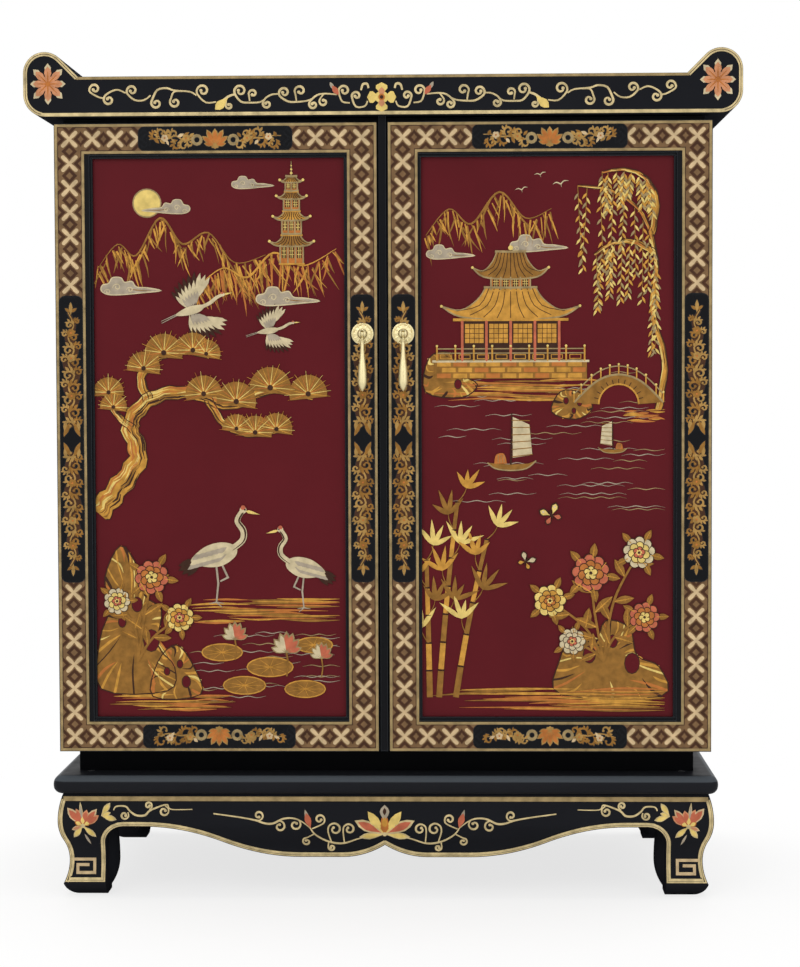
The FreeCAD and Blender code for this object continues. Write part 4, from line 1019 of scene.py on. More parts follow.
def boat(work):
    """A river boat under one battened sail, about 60 mm tall."""
    hull = smooth([(-24, 7), (-16, 1), (0, -1), (16, 1), (26, 9)], 4)
    work.patch("old_gold", hull + [(18, 6), (0, 5), (-16, 6)], 1.2)
    work.stroke("gilt", hull, 1.4, lift=2.0)
    work.stroke("umber", [(0, 5), (1, 58)], 1.6, (1, 0.5), 2.0)
    work.patch("ivory", [(2, 12), (22, 15), (19, 46), (2, 54)], 1.2)
    for i in range(6):
        up = 13 + 7.5 * i
        work.stroke("old_gold", [(1, up), (22.5 - 0.6 * i, up + 2.5 - 0.6 * i)], 0.9, lift=2.0)
    work.patch("orange", smooth([(-17, 6), (-15, 15), (-7, 16), (-4, 6)], 4), 1.4)
    for across in (-13, -10, -7):
        work.stroke("gilt", [(across, 7), (across, 15)], 0.7, lift=2.2)


def limb(work, draw, knots, thick, thin):
    """A gnarled limb through knots, from thick to thin, with bark drawn along it; returns its line."""
    line = smooth(knots, 6)
    count = len(line)
    sides = []
    for hand in (1, -1):
        side = []
        for i, ((a, u), (b, v)) in enumerate(zip(line, shifted(line, hand))):
            gnarl = 1 + 0.16 * math.sin(1.9 * i + hand)
            half = (thick + (thin - thick) * i / (count - 1)) / 2 * gnarl
            side.append((a + (b - a) * half, u + (v - u) * half))
        sides.append(side)
    work.patch("gold", sides[1] + sides[0][::-1], 1.0)
    bark = work.at(0, 0, rise=1.0)
    for i in range(int(count * 0.12 * thick) + count):
        place = draw.randrange(count - 3)
        mix = draw.uniform(0.04, 0.96)
        pairs = list(zip(*sides))[place : place + 4]
        marks = [tuple(p * mix + q * (1 - mix) for p, q in zip(left, right)) for left, right in pairs]
        shadow = ("umber", "old_gold") if mix < 0.45 else ("orange", "yellow")
        bark.stroke(shadow[i % 2], marks, draw.uniform(0.8, 1.0 + thick * 0.06), (0.2, 0.2), 0.4)
    for side in sides:
        bark.stroke("umber", side, 0.9, (1, 0.6), 0.5)
    return line


def pine_tuft(work, draw, radius):
    """A fan of pine needles over a flat pad."""
    work.patch("old_gold", arc((0, 0), radius * 0.86, -14, 194, 12), 0.9)
    for i in range(15):
        heading = -12 + 204 * i / 14
        reach = radius * draw.uniform(0.88, 1.08)
        fill = ("gold", "yellow", "orange")[i % 3]
        needle = [polar((0, 0), distance, heading) for distance in (radius * 0.08, reach)]
        work.stroke(fill, needle, 1.3, (1, 0.25), 1.9)
    work.dot("umber", (0, 0), radius * 0.12, 2.2)


def crane(work):
    """A crane standing on one leg, about 100 mm tall, looking to +across."""
    for leg in ([(2, 39), (4, 20), (2, 0)], [(8, 39), (14, 26), (6, 22)]):
        work.stroke("grey", leg, 2.0, (1.2, 0.8), 1.2)
    for heading in (-8, -40, 190):
        work.stroke("grey", [(2, 0.5), polar((2, 0.5), 8, heading)], 1.5, (1, 0.3), 1.2)
    for heading, reach in ((198, 26), (208, 28), (219, 27), (231, 24)):
        work.leaf("umber", (-12, 46), heading, reach, 7, 0.6, 1.2, 0.4)
    body = smooth([(-24, 43), (-10, 57), (8, 62), (22, 58), (22, 48), (8, 38), (-10, 37)], 4, True)
    work.patch("ivory", body, 1.6, 0.3)
    wing = work.at(0, 0, rise=1.9)
    for row, (fill, start, reach) in enumerate((("grey", 50, 17), ("ivory", 53, 14), ("grey", 57, 11))):
        for i in range(6):
            wing.leaf(fill, (13 - 5.2 * i, start - 1.4 * i), 212, reach, 5, 0.55, 0.3 + 0.25 * row, 0.2)
    neck = smooth([(18, 55), (29, 64), (30, 74), (24, 84), (29, 94)], 5)
    work.stroke("ivory", neck, 6.4, (1.3, 0.75), 2.4)
    work.stroke("umber", shifted(neck, -1.6), 1.8, (0.2, 0.8), 3.2)
    work.dot("ivory", (30, 95), 3.6, 2.6)
    work.patch("coral", circle((30, 97.4), 2.5), 3.2, 0.4)
    work.dot("umber", (31.8, 95.4), 0.9, 3.8)
    work.leaf("yellow", (32.5, 94), -14, 15, 3.2, 0.25, 2.4, 0.5)


def flying_crane(work):
    """A crane on the wing, about 110 mm from wing tip to wing tip, flying to +across."""
    for wing, lean in ((1, 0), (-1, 18)):
        for i in range(9):
            root = (-2 + 1.6 * i, wing * (3 + 1.1 * i))
            reach = 46 - 2.2 * abs(i - 5)
            heading = wing * (118 - 9.5 * i) + lean
            work.leaf("umber" if i < 6 else "ivory", root, heading, reach, 6.4, 0.7, 1.1, 0.3)
            work.leaf("ivory", root, heading, reach * 0.74, 5.4, 0.6, 1.7, 0.4)
        for i in range(6):
            root = (1 + 2 * i, wing * (2 + i))
            work.leaf("grey", root, wing * (112 - 9 * i) + lean, 19, 4.6, 0.55, 2.5, 0.4)
    body = smooth([(-22, 0), (-4, 6), (14, 5), (22, 1), (12, -5), (-6, -5)], 4, True)
    work.patch("ivory", body, 2.6, 1.0)
    neck = smooth([(18, 1), (30, 3), (42, 8), (50, 9)], 4)
    work.stroke("ivory", neck, 5, (1.2, 0.7), 3.2)
    work.dot("ivory", (51, 9.4), 2.9, 3.4)
    work.patch("coral", circle((51, 11.4), 1.9, 8), 3.8, 0.5)
    work.leaf("yellow", (53, 9), -4, 12, 2.6, 0.25, 3.0, 0.4)
    for side in (1.4, -1.4):
        work.stroke("grey", [(-20, side * 0.6), (-44, side - 4)], 1.4, (1, 0.5), 1.8)


def garden_rock(work, draw, outline):
    """A pierced garden rock, hatched from its rim inwards."""
    rim = smooth(outline, 4, True)
    count = len(rim)
    work.patch("old_gold", rim, 0.9)
    middle = [sum(part) / count for part in zip(*rim)]
    hatch = work.at(0, 0, rise=0.9)
    for i, edge in enumerate(rim):
        inner = [e + (m - e) * draw.uniform(0.2, 0.7) for e, m in zip(edge, middle)]
        bend = [(e + n) / 2 + draw.uniform(-3, 3) for e, n in zip(edge, inner)]
        fill = ("gold", "orange", "umber", "gold", "yellow")[i % 5]
        hatch.stroke(fill, smooth([edge, bend, inner], 3), draw.uniform(1.2, 3.2), (1, 0.1), 0.4)
    hatch.stroke("umber", rim, 1.2, closed=True, lift=0.6)
    for share in (0.15, 0.5, 0.82):
        edge = rim[int(share * count)]
        spot = [m + (e - m) * 0.42 for m, e in zip(middle, edge)]
        size = math.dist(middle, edge) * 0.13
        hole = [(spot[0] + a, spot[1] + 1.4 * u) for a, u in circle((0, 0), size)]
        hatch.patch("red", hole, 0.7)
        hatch.stroke("umber", hole, 1.0, closed=True, lift=0.9)


def peony_spray(work, draw, flowers):
    """Peonies on stems from one root; each flower is a spot, a radius and three paints."""
    for spot, radius, fills in flowers:
        bend = (spot[0] * 0.35 + draw.uniform(-6, 6), spot[1] * 0.55)
        stem = smooth([(0, 0), bend, spot], 7)
        work.stroke("old_gold", stem, 2.6, (1, 0.7), 1.4)
        for share, side in ((0.4, 1), (0.55, -1), (0.72, 1), (0.86, -1)):
            root, heading = along(stem, share)
            veined_leaf(work.at(*root), heading + side * draw.uniform(38, 66), radius * 1.25, radius * 0.5)
    for spot, radius, fills in flowers:
        for i in range(5):
            heading = 72 * i + draw.uniform(-14, 14)
            veined_leaf(work.at(*polar(spot, radius * 0.7, heading)), heading, radius * 0.85, radius * 0.4)
        peony(work.at(*spot, turn=draw.uniform(0, 60)), radius, *fills)


def lotus_leaf(work, width):
    """A floating lotus leaf with its radiating veins."""
    rim = [(a, u * 0.42) for a, u in circle((0, 0), width / 2, 18)]
    work.patch("old_gold", rim, 1.0)
    work.stroke("gold", rim, 1.3, closed=True, lift=1.8)
    for i in range(0, 18, 2):
        work.stroke("gold", [(0, 0), (rim[i][0] * 0.9, rim[i][1] * 0.9)], 0.8, (1, 0.3), 1.7)


def water_lotus(work):
    """A lotus flower on its stalk, about 45 mm tall."""
    work.stroke("old_gold", smooth([(0, 0), (1.5, 12), (0, 24)], 5), 1.8, lift=1.4)
    petals = [
        (20, 17, 7), (160, 17, 7), (48, 20, 8), (132, 20, 8), (72, 22, 8.5), (108, 22, 8.5), (90, 23, 8),
    ]
    for i, (heading, reach, width) in enumerate(petals):
        framed_petal(work.at(0, 24), (0, 0), heading, reach, width, "ivory" if i % 2 else "coral", "gilt")


def bamboo(work, draw, height, lean, width):
    """A jointed cane with leaves in threes."""
    joints = max(4, int(height / 30))
    spot, heading = (0.0, 0.0), 90 - lean
    for i in range(joints):
        following = polar(spot, height / joints, heading)
        size = width * (1 - 0.4 * i / joints)
        cane = [polar(spot, 1.0, heading), polar(following, -1.0, heading)]
        work.stroke("gold" if i % 2 else "old_gold", cane, size, (1, 1), 1.6)
        joint = [polar(following, size * 0.6, heading + turn) for turn in (90, -90)]
        work.stroke("umber", joint, 1.3, lift=2.2)
        if i >= joints // 3:
            side = 1 if i % 2 else -1
            twig = tendril(following, heading + side * 42, 18, -side * 30, 4)
            work.stroke("old_gold", twig, 1.1, (1, 0.5), 1.8)
            fill = ("gold", "yellow", "old_gold")[i % 3]
            for turn in (-78, -44, -14, 22):
                way = heading + side * 42 + turn * side
                work.leaf(fill, twig[-1], way, draw.uniform(20, 30), 5.2, 0.4, 1.6, 0.5)
        spot, heading = following, heading - lean * 0.12


def willow(work, draw, limbs):
    """Boughs hung with leafy strands; each limb is its knots and how far its longest strands hang."""
    for knots, hang in limbs:
        line = limb(work, draw, knots, 7.5, 2.2)
        first = 2 * len(line) // 5
        for i in range(first, len(line), 2):
            across, up = line[i]
            drop = hang * draw.uniform(0.55, 1.0)
            sway = draw.uniform(-6, 6)
            bend = (across + sway * 0.4, up - drop * 0.5)
            strand = smooth([(across, up), bend, (across + sway, up - drop)], 8)
            work.stroke("old_gold", strand, 0.9, (1, 0.4), 1.3)
            for place in range(2, len(strand)):
                side = 1 if place % 2 else -1
                fill = ("gold", "yellow", "gilt")[(i + place) % 3]
                work.leaf(fill, strand[place], -90 + side * draw.uniform(24, 40), 8.5, 2.4, 0.45, 1.5, 0.4)


def butterfly(work, fill, spot):
    """A butterfly about 26 mm across."""
    for hand in (False, True):
        half = work.at(0, 0, flip=hand)
        framed_petal(half, (0.5, 0), 48, 15, 9, fill, "umber", 0.66)
        framed_petal(half, (0.5, 0), -38, 11, 7, spot, "umber", 0.66)
        half.dot("ivory", polar((0, 0), 10, 48), 1.3, 2.6)
        half.stroke("umber", tendril((0.4, 4), 68, 8, -60, 5), 0.7, lift=1.6)
    work.leaf("umber", (0, -5), 90, 11, 2.4, 0.6, 2.4, 0.5)


def swallow(work):
    """A far-off bird, about 20 mm across."""
    for hand in (False, True):
        half = work.at(0, 0, flip=hand)
        half.stroke("ivory", smooth([(0, 0), (5, 3.4), (11, 2.2)], 4), 1.6, (1, 0.15), 1.6)
    work.stroke("ivory", [(0, 1.5), (0, -4)], 1.5, (0.6, 0.3), 1.6)


def paint_left_picture(work):
    """Cranes under a pine, by a pond with garden rocks and peonies; the moon, hills and a tower far off."""
    draw = random.Random(11)
    moon = circle((58, 556), 15, 24)
    work.patch("yellow", moon, 0.9)
    work.stroke("gilt", moon, 1.4, closed=True, lift=1.7)
    far_ridge = [(4, 486), (26, 512), (46, 500), (72, 540), (96, 512), (124, 524), (152, 492), (186, 500)]
    near_ridge = [(112, 466), (140, 486), (166, 476), (194, 502), (226, 488), (262, 506)]
    hill(work, draw, far_ridge, 34, ("old_gold", "gold"))
    hill(work, draw, near_ridge, 40, ("gold", "orange", "old_gold"))
    pagoda(work.at(214, 490, rise=1.2), 4, 40)
    cloud(work.at(8, 462, rise=1.0))
    cloud(work.at(176, 450, scale=1.05, rise=1.2))
    cloud(work.at(104, 548, scale=0.8, flip=True, rise=0.8))
    cloud(work.at(150, 574, scale=0.7))
    flying_crane(work.at(104, 440, 16, 0.76, rise=1.2))
    flying_crane(work.at(188, 418, 8, 0.55, rise=1.2))
    trunk = [
        (2, 222), (22, 246), (46, 282), (38, 318), (62, 346),
        (104, 352), (146, 338), (190, 354), (236, 346),
    ]
    main = limb(work, draw, trunk, 26, 5)
    upper = limb(work, draw, [(58, 344), (50, 368), (66, 388), (96, 396), (124, 390)], 11, 3.5)
    lower = limb(work, draw, [(122, 346), (140, 318), (168, 306), (200, 310)], 9, 3)
    stub = limb(work, draw, [(42, 312), (22, 330), (14, 352)], 9, 3)
    tufts = [
        (main, 0.68, 23), (main, 0.78, 25), (main, 0.88, 26), (main, 0.98, 24),
        (upper, 0.35, 21), (upper, 0.62, 24), (upper, 0.85, 22), (upper, 0.99, 18),
        (lower, 0.5, 18), (lower, 0.75, 21), (lower, 0.99, 20), (stub, 0.6, 17), (stub, 0.99, 19),
    ]
    for line, share, radius in tufts:
        across, up = along(line, share)[0]
        pine_tuft(work.at(across, up + 3, draw.uniform(-10, 10), rise=1.2), draw, radius)
    ground(work.at(0, 128), draw, 96, 264, 26, 26, ("gold", "orange", "old_gold"))
    crane(work.at(128, 124, scale=1.06, rise=0.6))
    crane(work.at(227, 118, scale=0.9, flip=True, rise=0.6))
    water(work, draw, 92, 264, 96, 18, 26)
    for across, up, width in ((136, 70, 44), (188, 54, 50), (236, 78, 40), (160, 34, 46), (226, 30, 44)):
        lotus_leaf(work.at(across, up, rise=0.6), width)
    for across, up, size in ((150, 62, 0.9), (206, 44, 1.05), (244, 44, 0.8)):
        water_lotus(work.at(across, up, scale=size, rise=1.4))
    tall_rock = [
        (4, 30), (3, 84), (14, 118), (9, 152), (26, 186), (44, 164),
        (52, 132), (70, 116), (66, 78), (84, 54), (76, 28),
    ]
    garden_rock(work, draw, tall_rock)
    garden_rock(work, draw, [(60, 22), (66, 60), (86, 78), (104, 56), (112, 24)])
    flowers = [
        ((-22, 66), 15, ("ivory", "yellow", "coral")),
        ((16, 92), 19, ("coral", "orange", "yellow")),
        ((46, 48), 16, ("yellow", "gold", "coral")),
    ]
    peony_spray(work.at(44, 60, rise=1.8), draw, flowers)
    ground(work.at(0, 24), draw, 3, 150, 18, 18, ("gold", "orange", "old_gold"))


def paint_right_picture(work):
    """A lakeside hall with a bridge, two boats and a willow; hills far off, bamboo and peonies in front."""
    draw = random.Random(23)
    ridge = [(5, 520), (30, 548), (54, 532), (84, 566), (112, 538), (140, 548)]
    hill(work, draw, ridge, 34, ("old_gold", "gold"))
    for across, up, size in ((150, 574, 0.8), (108, 568, 0.65), (128, 584, 0.6)):
        swallow(work.at(across, up, 12, size))
    cloud(work.at(96, 506, scale=0.95))
    cloud(work.at(6, 498, scale=0.8))
    water(work, draw, 4, 262, 384, 226, 46)
    garden_rock(work, draw, [(4, 352), (8, 388), (30, 394), (40, 372), (60, 360), (44, 346)])
    pavilion(work.at(96, 366, rise=1.6), 124)
    ground(work.at(0, 364), draw, 3, 190, 22, 26, ("gold", "orange", "old_gold"))
    bridge(work.at(164, 340, rise=1.0), 96, 30)
    garden_rock(work, draw, [(140, 330), (150, 352), (172, 350), (184, 334), (166, 322)])
    ground(work.at(0, 332), draw, 216, 262, 14, 12, ("gold", "orange"))
    boat(work.at(96, 268, scale=1.05, rise=0.8))
    boat(work.at(206, 286, scale=0.62, flip=True, rise=0.8))
    boughs = [
        ([(255, 332), (261, 384), (248, 438), (252, 490), (238, 540), (206, 566), (168, 572)], 96),
        ([(250, 500), (228, 512), (204, 510), (186, 498)], 70),
        ([(247, 520), (252, 556), (240, 580), (218, 589), (194, 586)], 44),
    ]
    willow(work, draw, boughs)
    for start, lean, height in ((18, 4, 214), (36, 9, 176), (8, -1, 150)):
        bamboo(work.at(start, 20), draw, height, lean, 6.4)
    front_rock = [
        (150, 24), (148, 60), (166, 92), (186, 78), (198, 104), (224, 96), (232, 66), (256, 54), (258, 22),
    ]
    garden_rock(work, draw, front_rock)
    flowers = [
        ((-58, 66), 18, ("yellow", "gold", "orange")),
        ((-14, 96), 21, ("coral", "orange", "yellow")),
        ((38, 118), 18, ("ivory", "yellow", "coral")),
        ((44, 48), 17, ("coral", "orange", "yellow")),
        ((-34, 22), 15, ("ivory", "ivory", "coral")),
    ]
    peony_spray(work.at(196, 60, rise=1.8), draw, flowers)
    butterfly(work.at(140, 218, 24), "yellow", "coral")
    butterfly(work.at(112, 168, -30, 0.8), "ivory", "gold")
    ground(work.at(0, 30), draw, 3, 262, 24, 30, ("gold", "orange", "old_gold"))


# Cornice


# Radius of the scroll end's lower corner
HEEL = 24


def cornice_lines(work):
    """Draws the lines along the left half's edges: broad at foot and top, double round the scroll end.

    Returns the middle of the scroll end and the height of the band's middle.
    """
    low, high = span("left_scroll_end")
    board_top, foot = span("top_board")[1].z, low.z
    head = (high.x - low.x - (high.z - board_top)) / math.sqrt(2)
    heel = arc((low.x + HEEL, foot + HEEL), HEEL, 270, 180, 14)
    brow = arc((low.x + head, high.z - head), head, 180, 45, 18)
    work.stroke("cream", shifted([(0.5, foot)] + heel[:3], -2.2), 3.6, lift=1.3)
    rim = shifted(heel[2:] + brow + [(high.x, board_top)], -2.3)
    work.stroke("cream", rim, 4, lift=1.3)
    work.stroke("umber", rim, 0.7, lift=1.7)
    work.stroke("gilt", [(high.x - 1.8, board_top - 1.7), (0.5, board_top - 1.7)], 2.8, lift=1.2)
    return (low.x + 26.7, foot + 35), (foot + board_top) / 2


# Scrolls as their stem's knots, and their spiral's centre, radius, first angle and turn
CORNICE_VINE = (
    (((-296, -1.5), (-302, -1)), (-307, 8), 6, 215, -370),
    (((-274, 3.5), (-282, 7), (-289, 5.5)), (-292, -3.5), 6, 125, 380),
    (((-247, 1), (-254, -4), (-264, -4)), (-267, 6), 6, 215, -380),
    (((-198, 0.5), (-205, 4.5), (-222, 6), (-230, 8.5), (-240, 6.5)), (-241, -7.5), 6, 135, 380),
    (((-213, 5), (-222, 4.5)), (-221, -6.5), 6, 135, 380),
    (((-177, -6.5), (-188, -7)), (-191, 5.5), 7, 215, -400),
    (((-166, -3.5),), (-163, -10.5), 4, 150, 330),
    (((-124, -3), (-130, -7), (-142, -7.5), (-150, -6.5)), (-151, 5), 7, 225, -420),
    (((-141, -6),), (-137.5, 2), 5, 215, -340),
    (((-110, 1.5), (-117, 1), (-123, -2)), (-122.5, -9), 5, 130, 380),
    (((-75, -4), (-80, -6), (-90, -7), (-100, -6.5)), (-104, 3), 6, 220, -400),
    (((-91, -6),), (-87, 4.5), 6.5, 220, -360),
    (((-48, 0.5), (-60, 1.5), (-69, 0)), (-73, -10), 5, 130, 380),
    (((-62, 1),), (-62, -7), 5, 130, 330),
    (((-34, -8.5), (-42, -7)), (-40, 4.5), 6.5, 215, -400),
    (((-15, -6.5), (-18, -12), (-27.5, -12.5)), (-27, -1), 5, 200, -360),
)
CORNICE_STEMS = (((-170, -5), (-163, -0.5), (-157, 1.5)), ((-22, 5), (-20, 11), (-15.5, 11.5), (-14, 7)))


def paint_cornice(work, sizes):
    """Lines, rosettes, scrolling vines and the middle flower on the front of the top."""
    width = sizes.vine_width / MM
    for hand in (False, True):
        side = work.at(0, 0, flip=hand)
        centre, middle = cornice_lines(side)
        rosette(side.at(*centre), 20)
        band = side.at(0, middle)
        for knots in CORNICE_STEMS:
            band.stroke("cream", smooth(knots, 5), width, (0.8, 0.8))
        for curl in CORNICE_VINE:
            scroll(band, "cream", *curl, width)
        framed_petal(band, (-164, -2), 222, 19, 9.5, "yellow", "yellow", 0.62)
        band.leaf("grey", (-50, 4), 118, 11, 4, 0.6, 1.2, 0.4)
        band.leaf("coral", (-46, 0), 124, 12, 6, 0.5, 1.6, 0.6)
    flower = work.at(0, middle - 2.5)
    flower.dot("yellow", (0, 0), 7, 1.1, 0.3)
    for i in range(4):
        flower.leaf("yellow", (0, 0), 90 * i, 15.6, 13.5, 0.7, 1.2, 0.5)
    for heading in (90, 270):
        flower.leaf("salmon", (0, 0), heading, 10.5, 6.5, 0.6, 1.9, 0.3)
    flower.dot("orange", (0, 0), 3.6, 2.2, 0.4)
    flower.dot("umber", (0, 0), 2, 2.8)


# Stand


class StandFront:
    """The front of the stand as a searchable surface, with the edges that its lines follow."""

    # How far inside the front the edges are looked for, and how far outside a search starts
    BEHIND = 14
    AWAY = 50

    def __init__(self):
        nodes = ("front_left_leg", "front_apron", "front_right_leg")
        self.face = spread(nodes)
        self.low, self.high = span("front_left_leg")
        self.apron = span("front_apron")[0]

    def depth(self, across, up):
        """How far back the front face lies."""
        start = Vector((across, self.low.y - self.AWAY, up)) * MM
        hit = self.face.ray_cast(start, Vector((0, 1, 0)))[0]
        return hit.y / MM if hit else self.low.y

    def place(self, across, up, lift):
        return Vector((across, self.depth(across, up) - lift, up)) * MM

    def outer_edge(self, up):
        """The outline of the left leg's outer side at a height."""
        inside = (self.low.x + 30, up)
        start = Vector((self.low.x - self.AWAY, self.depth(*inside) + 2, up)) * MM
        return self.face.ray_cast(start, Vector((1, 0, 0)))[0].x / MM

    def lower_edge(self, across):
        """The outline of apron and bracket from below."""
        start = Vector((across, self.low.y + self.BEHIND, -20)) * MM
        return self.face.ray_cast(start, Vector((0, 0, 1)))[0].z / MM

    def inner_edge(self, up):
        """The outline of the left leg's inner side at a height."""
        start = Vector((self.high.x, self.low.y + self.BEHIND, up)) * MM
        return self.face.ray_cast(start, Vector((-1, 0, 0)))[0].x / MM


# Petals as a heading, a reach, a width, and the paints of their rim and middle
LOTUS = (
    (90, 22, 9, "orange", "gold"), (25, 36, 12, "cream", "coral"), (155, 36, 12, "cream", "coral"),
    (-7, 28, 8, "cream", "yellow"), (187, 28, 8, "cream", "yellow"), (54, 31, 10, "yellow", "yellow"),
    (126, 31, 10, "yellow", "yellow"), (75, 13, 7, "gold", "orange"), (105, 13, 7, "gold", "orange"),
)
CORNER_LOTUS = (
    (200, 13, 5, "bone", "salmon"), (131, 26, 9.5, "bone", "coral"), (33, 21, 8.5, "salmon", "coral"),
    (50, 24, 8, "bone", "coral"), (112, 20, 8.5, "salmon", "coral"), (76, 18, 8, "salmon", "coral"),
    (97, 26, 3.6, "cream", "grey"), (150, 10, 6, "orange", "yellow"), (30, 10, 6, "orange", "yellow"),
    (90, 12, 8, "orange", "yellow"), (232, 17, 6.5, "cream", "yellow"), (-42, 19, 6.5, "cream", "yellow"),
)
CORNER_LEAVES = ((55, 17, 6.5), (-14, 17.5, 6.5), (18, 11, 5))
STAND_STEMS = (
    (
        (-295, 96), (-292, 100), (-282, 100), (-277, 95), (-270, 90.5), (-261, 90.5),
        (-256, 95), (-250, 98), (-237, 102), (-232, 97), (-209, 97),
    ),
    (
        (-186, 92.5), (-157, 88.5), (-141, 85.5), (-130, 82), (-121, 82),
        (-110, 87), (-99, 87.5), (-90, 84), (-81, 77),
    ),
    ((-81, 77), (-75, 69), (-61, 61), (-45, 59), (-27, 65), (-2, 70)),
)
# Scrolls as in the cornice's vine
STAND_SCROLLS = (
    ((), (-283, 90.5), 5, 42, -420),
    ((), (-257, 101), 4.5, -76, 420),
    ((), (-240, 95), 6, 80, -420),
    ((), (-137, 90.5), 6, 230, 420),
    ((), (-114, 78.5), 7, 150, -420),
    ((), (-97, 80.5), 7, 106, -420),
    (((-79, 76),), (-70.5, 86.5), 6, -60, 400),
    (((-76, 70.5),), (-85, 61), 5, 80, 400),
    (((-61, 61),), (-58, 54), 4, 160, 400),
    (((-58, 60.5),), (-54, 75.5), 8, 200, -430),
    (((-44, 59.5),), (-38.5, 75.5), 7, 200, -430),
)
# The fret's bends as shares of its size
KEY = ((-0.3, 0.776), (1, 0.776), (1, 0), (0, 0), (0, 0.454), (0.68, 0.454))


def stand_lines(work, stand, fret):
    """The left half's double line down the leg and along the apron, a broad one on top, and a fret."""
    toe, broad = 15.5, 4.8
    leg_steps, steps = 22, 60
    under_board = stand.high.z - 5.9
    heights = [under_board + (toe - under_board) * i / leg_steps for i in range(leg_steps + 1)]
    outer = [(stand.outer_edge(up), up) for up in heights]
    inner = stand.inner_edge(30)
    places = [inner * (1 - i / steps) for i in range(steps + 1)]
    under = [(across, stand.lower_edge(across)) for across in places]
    bracket = [(stand.inner_edge(up), up) for up in (toe, 36, 48, 54, 58, 61, 64, 67, 70, 73)]
    path = outer + bracket + [spot for spot in under if spot[0] > bracket[-1][0] + 2]
    beyond = (-path[-2][0], path[-2][1])
    for inset, width in ((1.4, 1.3), (3.8, 2.7)):
        work.stroke("cream", shifted(path + [beyond], inset)[:-1], width, lift=1.4)
    across = [(outer[0][0] + 2) * (1 - i / steps) + 0.5 for i in range(steps + 1)]
    work.stroke("gilt", [(a, under_board) for a in across], broad, lift=1.6)
    corner = (inner - 31, toe + 10.3)
    work.stroke("bone", [(corner[0] + fret * a, corner[1] + fret * u) for a, u in KEY], 3.2, lift=1.6)


def paint_stand(work, stand, sizes):
    """Lines, lotuses, vines and frets on the front of the legs and the apron."""
    width = sizes.vine_width / MM * 0.9
    for hand in (False, True):
        side = work.at(0, 0, flip=hand)
        stand_lines(side, stand, sizes.fret / MM)
        for knots in STAND_STEMS:
            side.stroke("cream", smooth(knots, 5), width, (0.6, 0.4))
        for curl in STAND_SCROLLS:
            scroll(side, "cream", *curl, width)
        for fill, reach, broad, lift in (("grey", 21, 5, 1.2), ("coral", 17, 7, 1.6)):
            side.leaf(fill, (-80.5, 77), 107, reach, broad, 0.55, lift, 0.5)
        side.leaf("grey", (-327, 70), -64, 14, 2.6, 0.5, 1.2, 0.4)
        lotus(side.at(-328.5, 79, rise=0.4), CORNER_LOTUS)
        for heading, reach, broad in CORNER_LEAVES:
            framed_petal(side, (-308.5, 90), heading, reach, broad, "yellow")
    lotus(work.at(0, 70, rise=0.6), LOTUS)
    bud = work.at(0, 84, rise=0.6)
    bud.leaf("grey", (0, 0), 90, 18, 10.5, 0.6, 1.2, 0.4)
    bud.leaf("umber", (0, 7), 90, 8, 4, 0.5, 1.8, 0.3)


# Operators


def ease(node, width):
    """Rounds the sharp edges of a node."""
    sharp_angle = math.radians(40)
    weld = node.modifiers.new("Join", "WELD")
    weld.merge_threshold = 0.02 * MM
    round_edges = node.modifiers.new("Ease", "BEVEL")
    round_edges.width = width
    round_edges.segments = 2
    round_edges.limit_method = "ANGLE"
    round_edges.angle_limit = sharp_angle
    round_edges.harden_normals = False


def coat(node, finish_name):
    """Gives a node one finish."""
    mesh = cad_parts[node].data
    mesh.materials.clear()
    mesh.materials.append(finish(finish_name))


# Shares of the common rounding for slender or shaped pieces, and the pieces in matte lacquer with a painted
# sheen
EASE_SHARES = {"bead": 0.6, "leg": 0.15, "apron": 0.15, "scroll_end": 0.15, "band": 0.15}
MATTE_PAINTED_SHEEN = ("leg", "apron", "scroll_end", "band")


class CABINET_OT_finish_pieces(bpy.types.Operator):
    """Gives every piece its lacquer, wood or metal, and eases the edges that show"""

    bl_idname = "cabinet.finish_pieces"
    bl_label = "Finish the pieces"

    def execute(self, context):
        sizes = context.scene.cabinet_sizes
        brass_parts = ("rosette", "boss", "pull_pin", "drop", "hinge_leaves", "hinge_pins")
        steel_parts = ("screws", "strike_plate", "nut")
        eased = (
            "stile", "side", "scroll_end", "band", "bottom_board", "inner_top",
            "leg", "apron", "waist", "bead", "shelf",
        )
        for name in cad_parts:
            if any(part in name for part in steel_parts):
                coat(name, "steel")
            elif any(part in name for part in brass_parts):
                coat(name, "brass")
            elif name in ("dowels", "shelf_pins"):
                coat(name, "beech")
            elif name.endswith("_shelf"):
                coat(name, "stain")
            elif name == "magnetic_catches":
                coat(name, "plastic")
            elif name.endswith("_panel") and "door" in name:
                coat(name, "red")
            # These pieces get matte black with a sheen painted into its colour
            elif any(part in name for part in MATTE_PAINTED_SHEEN):
                coat(name, "dull_black")
            # The waist gets black darkened as painted shade
            elif name.startswith("waist"):
                coat(name, "deep_black")
            # The stand's board carries a highlight painted on its upper round
            elif name == "stand_board":
                coat(name, "moulding")
            else:
                coat(name, "black")
            if any(part in name for part in eased) and "drop" not in name:
                share = next((s for part, s in EASE_SHARES.items() if part in name), 1.0)
                ease(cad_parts[name], sizes.edge_round * share)
        return {"FINISHED"}


def left_door():
    """The left door as left, low, right and high, and the front of its frame."""
    low, high = span("left_door_outer_stile")
    right = span("left_door_inner_stile")[1].x
    return (low.x, low.z, right, high.z), low.y


class CABINET_OT_paint_frames(bpy.types.Operator):
    """Paints the lines, the diaper and the cartouches on both door frames"""

    bl_idname = "cabinet.paint_frames"
    bl_label = "Paint the door frames"

    def execute(self, context):
        door, face = left_door()
        for hand, flip in (("left", False), ("right", True)):
            work = Paintwork(on_front(face, flip))
            paint_frame(work, context.scene.cabinet_sizes, door)
            work.build(hand + "_frame_ornament", hand + "_door")
        return {"FINISHED"}


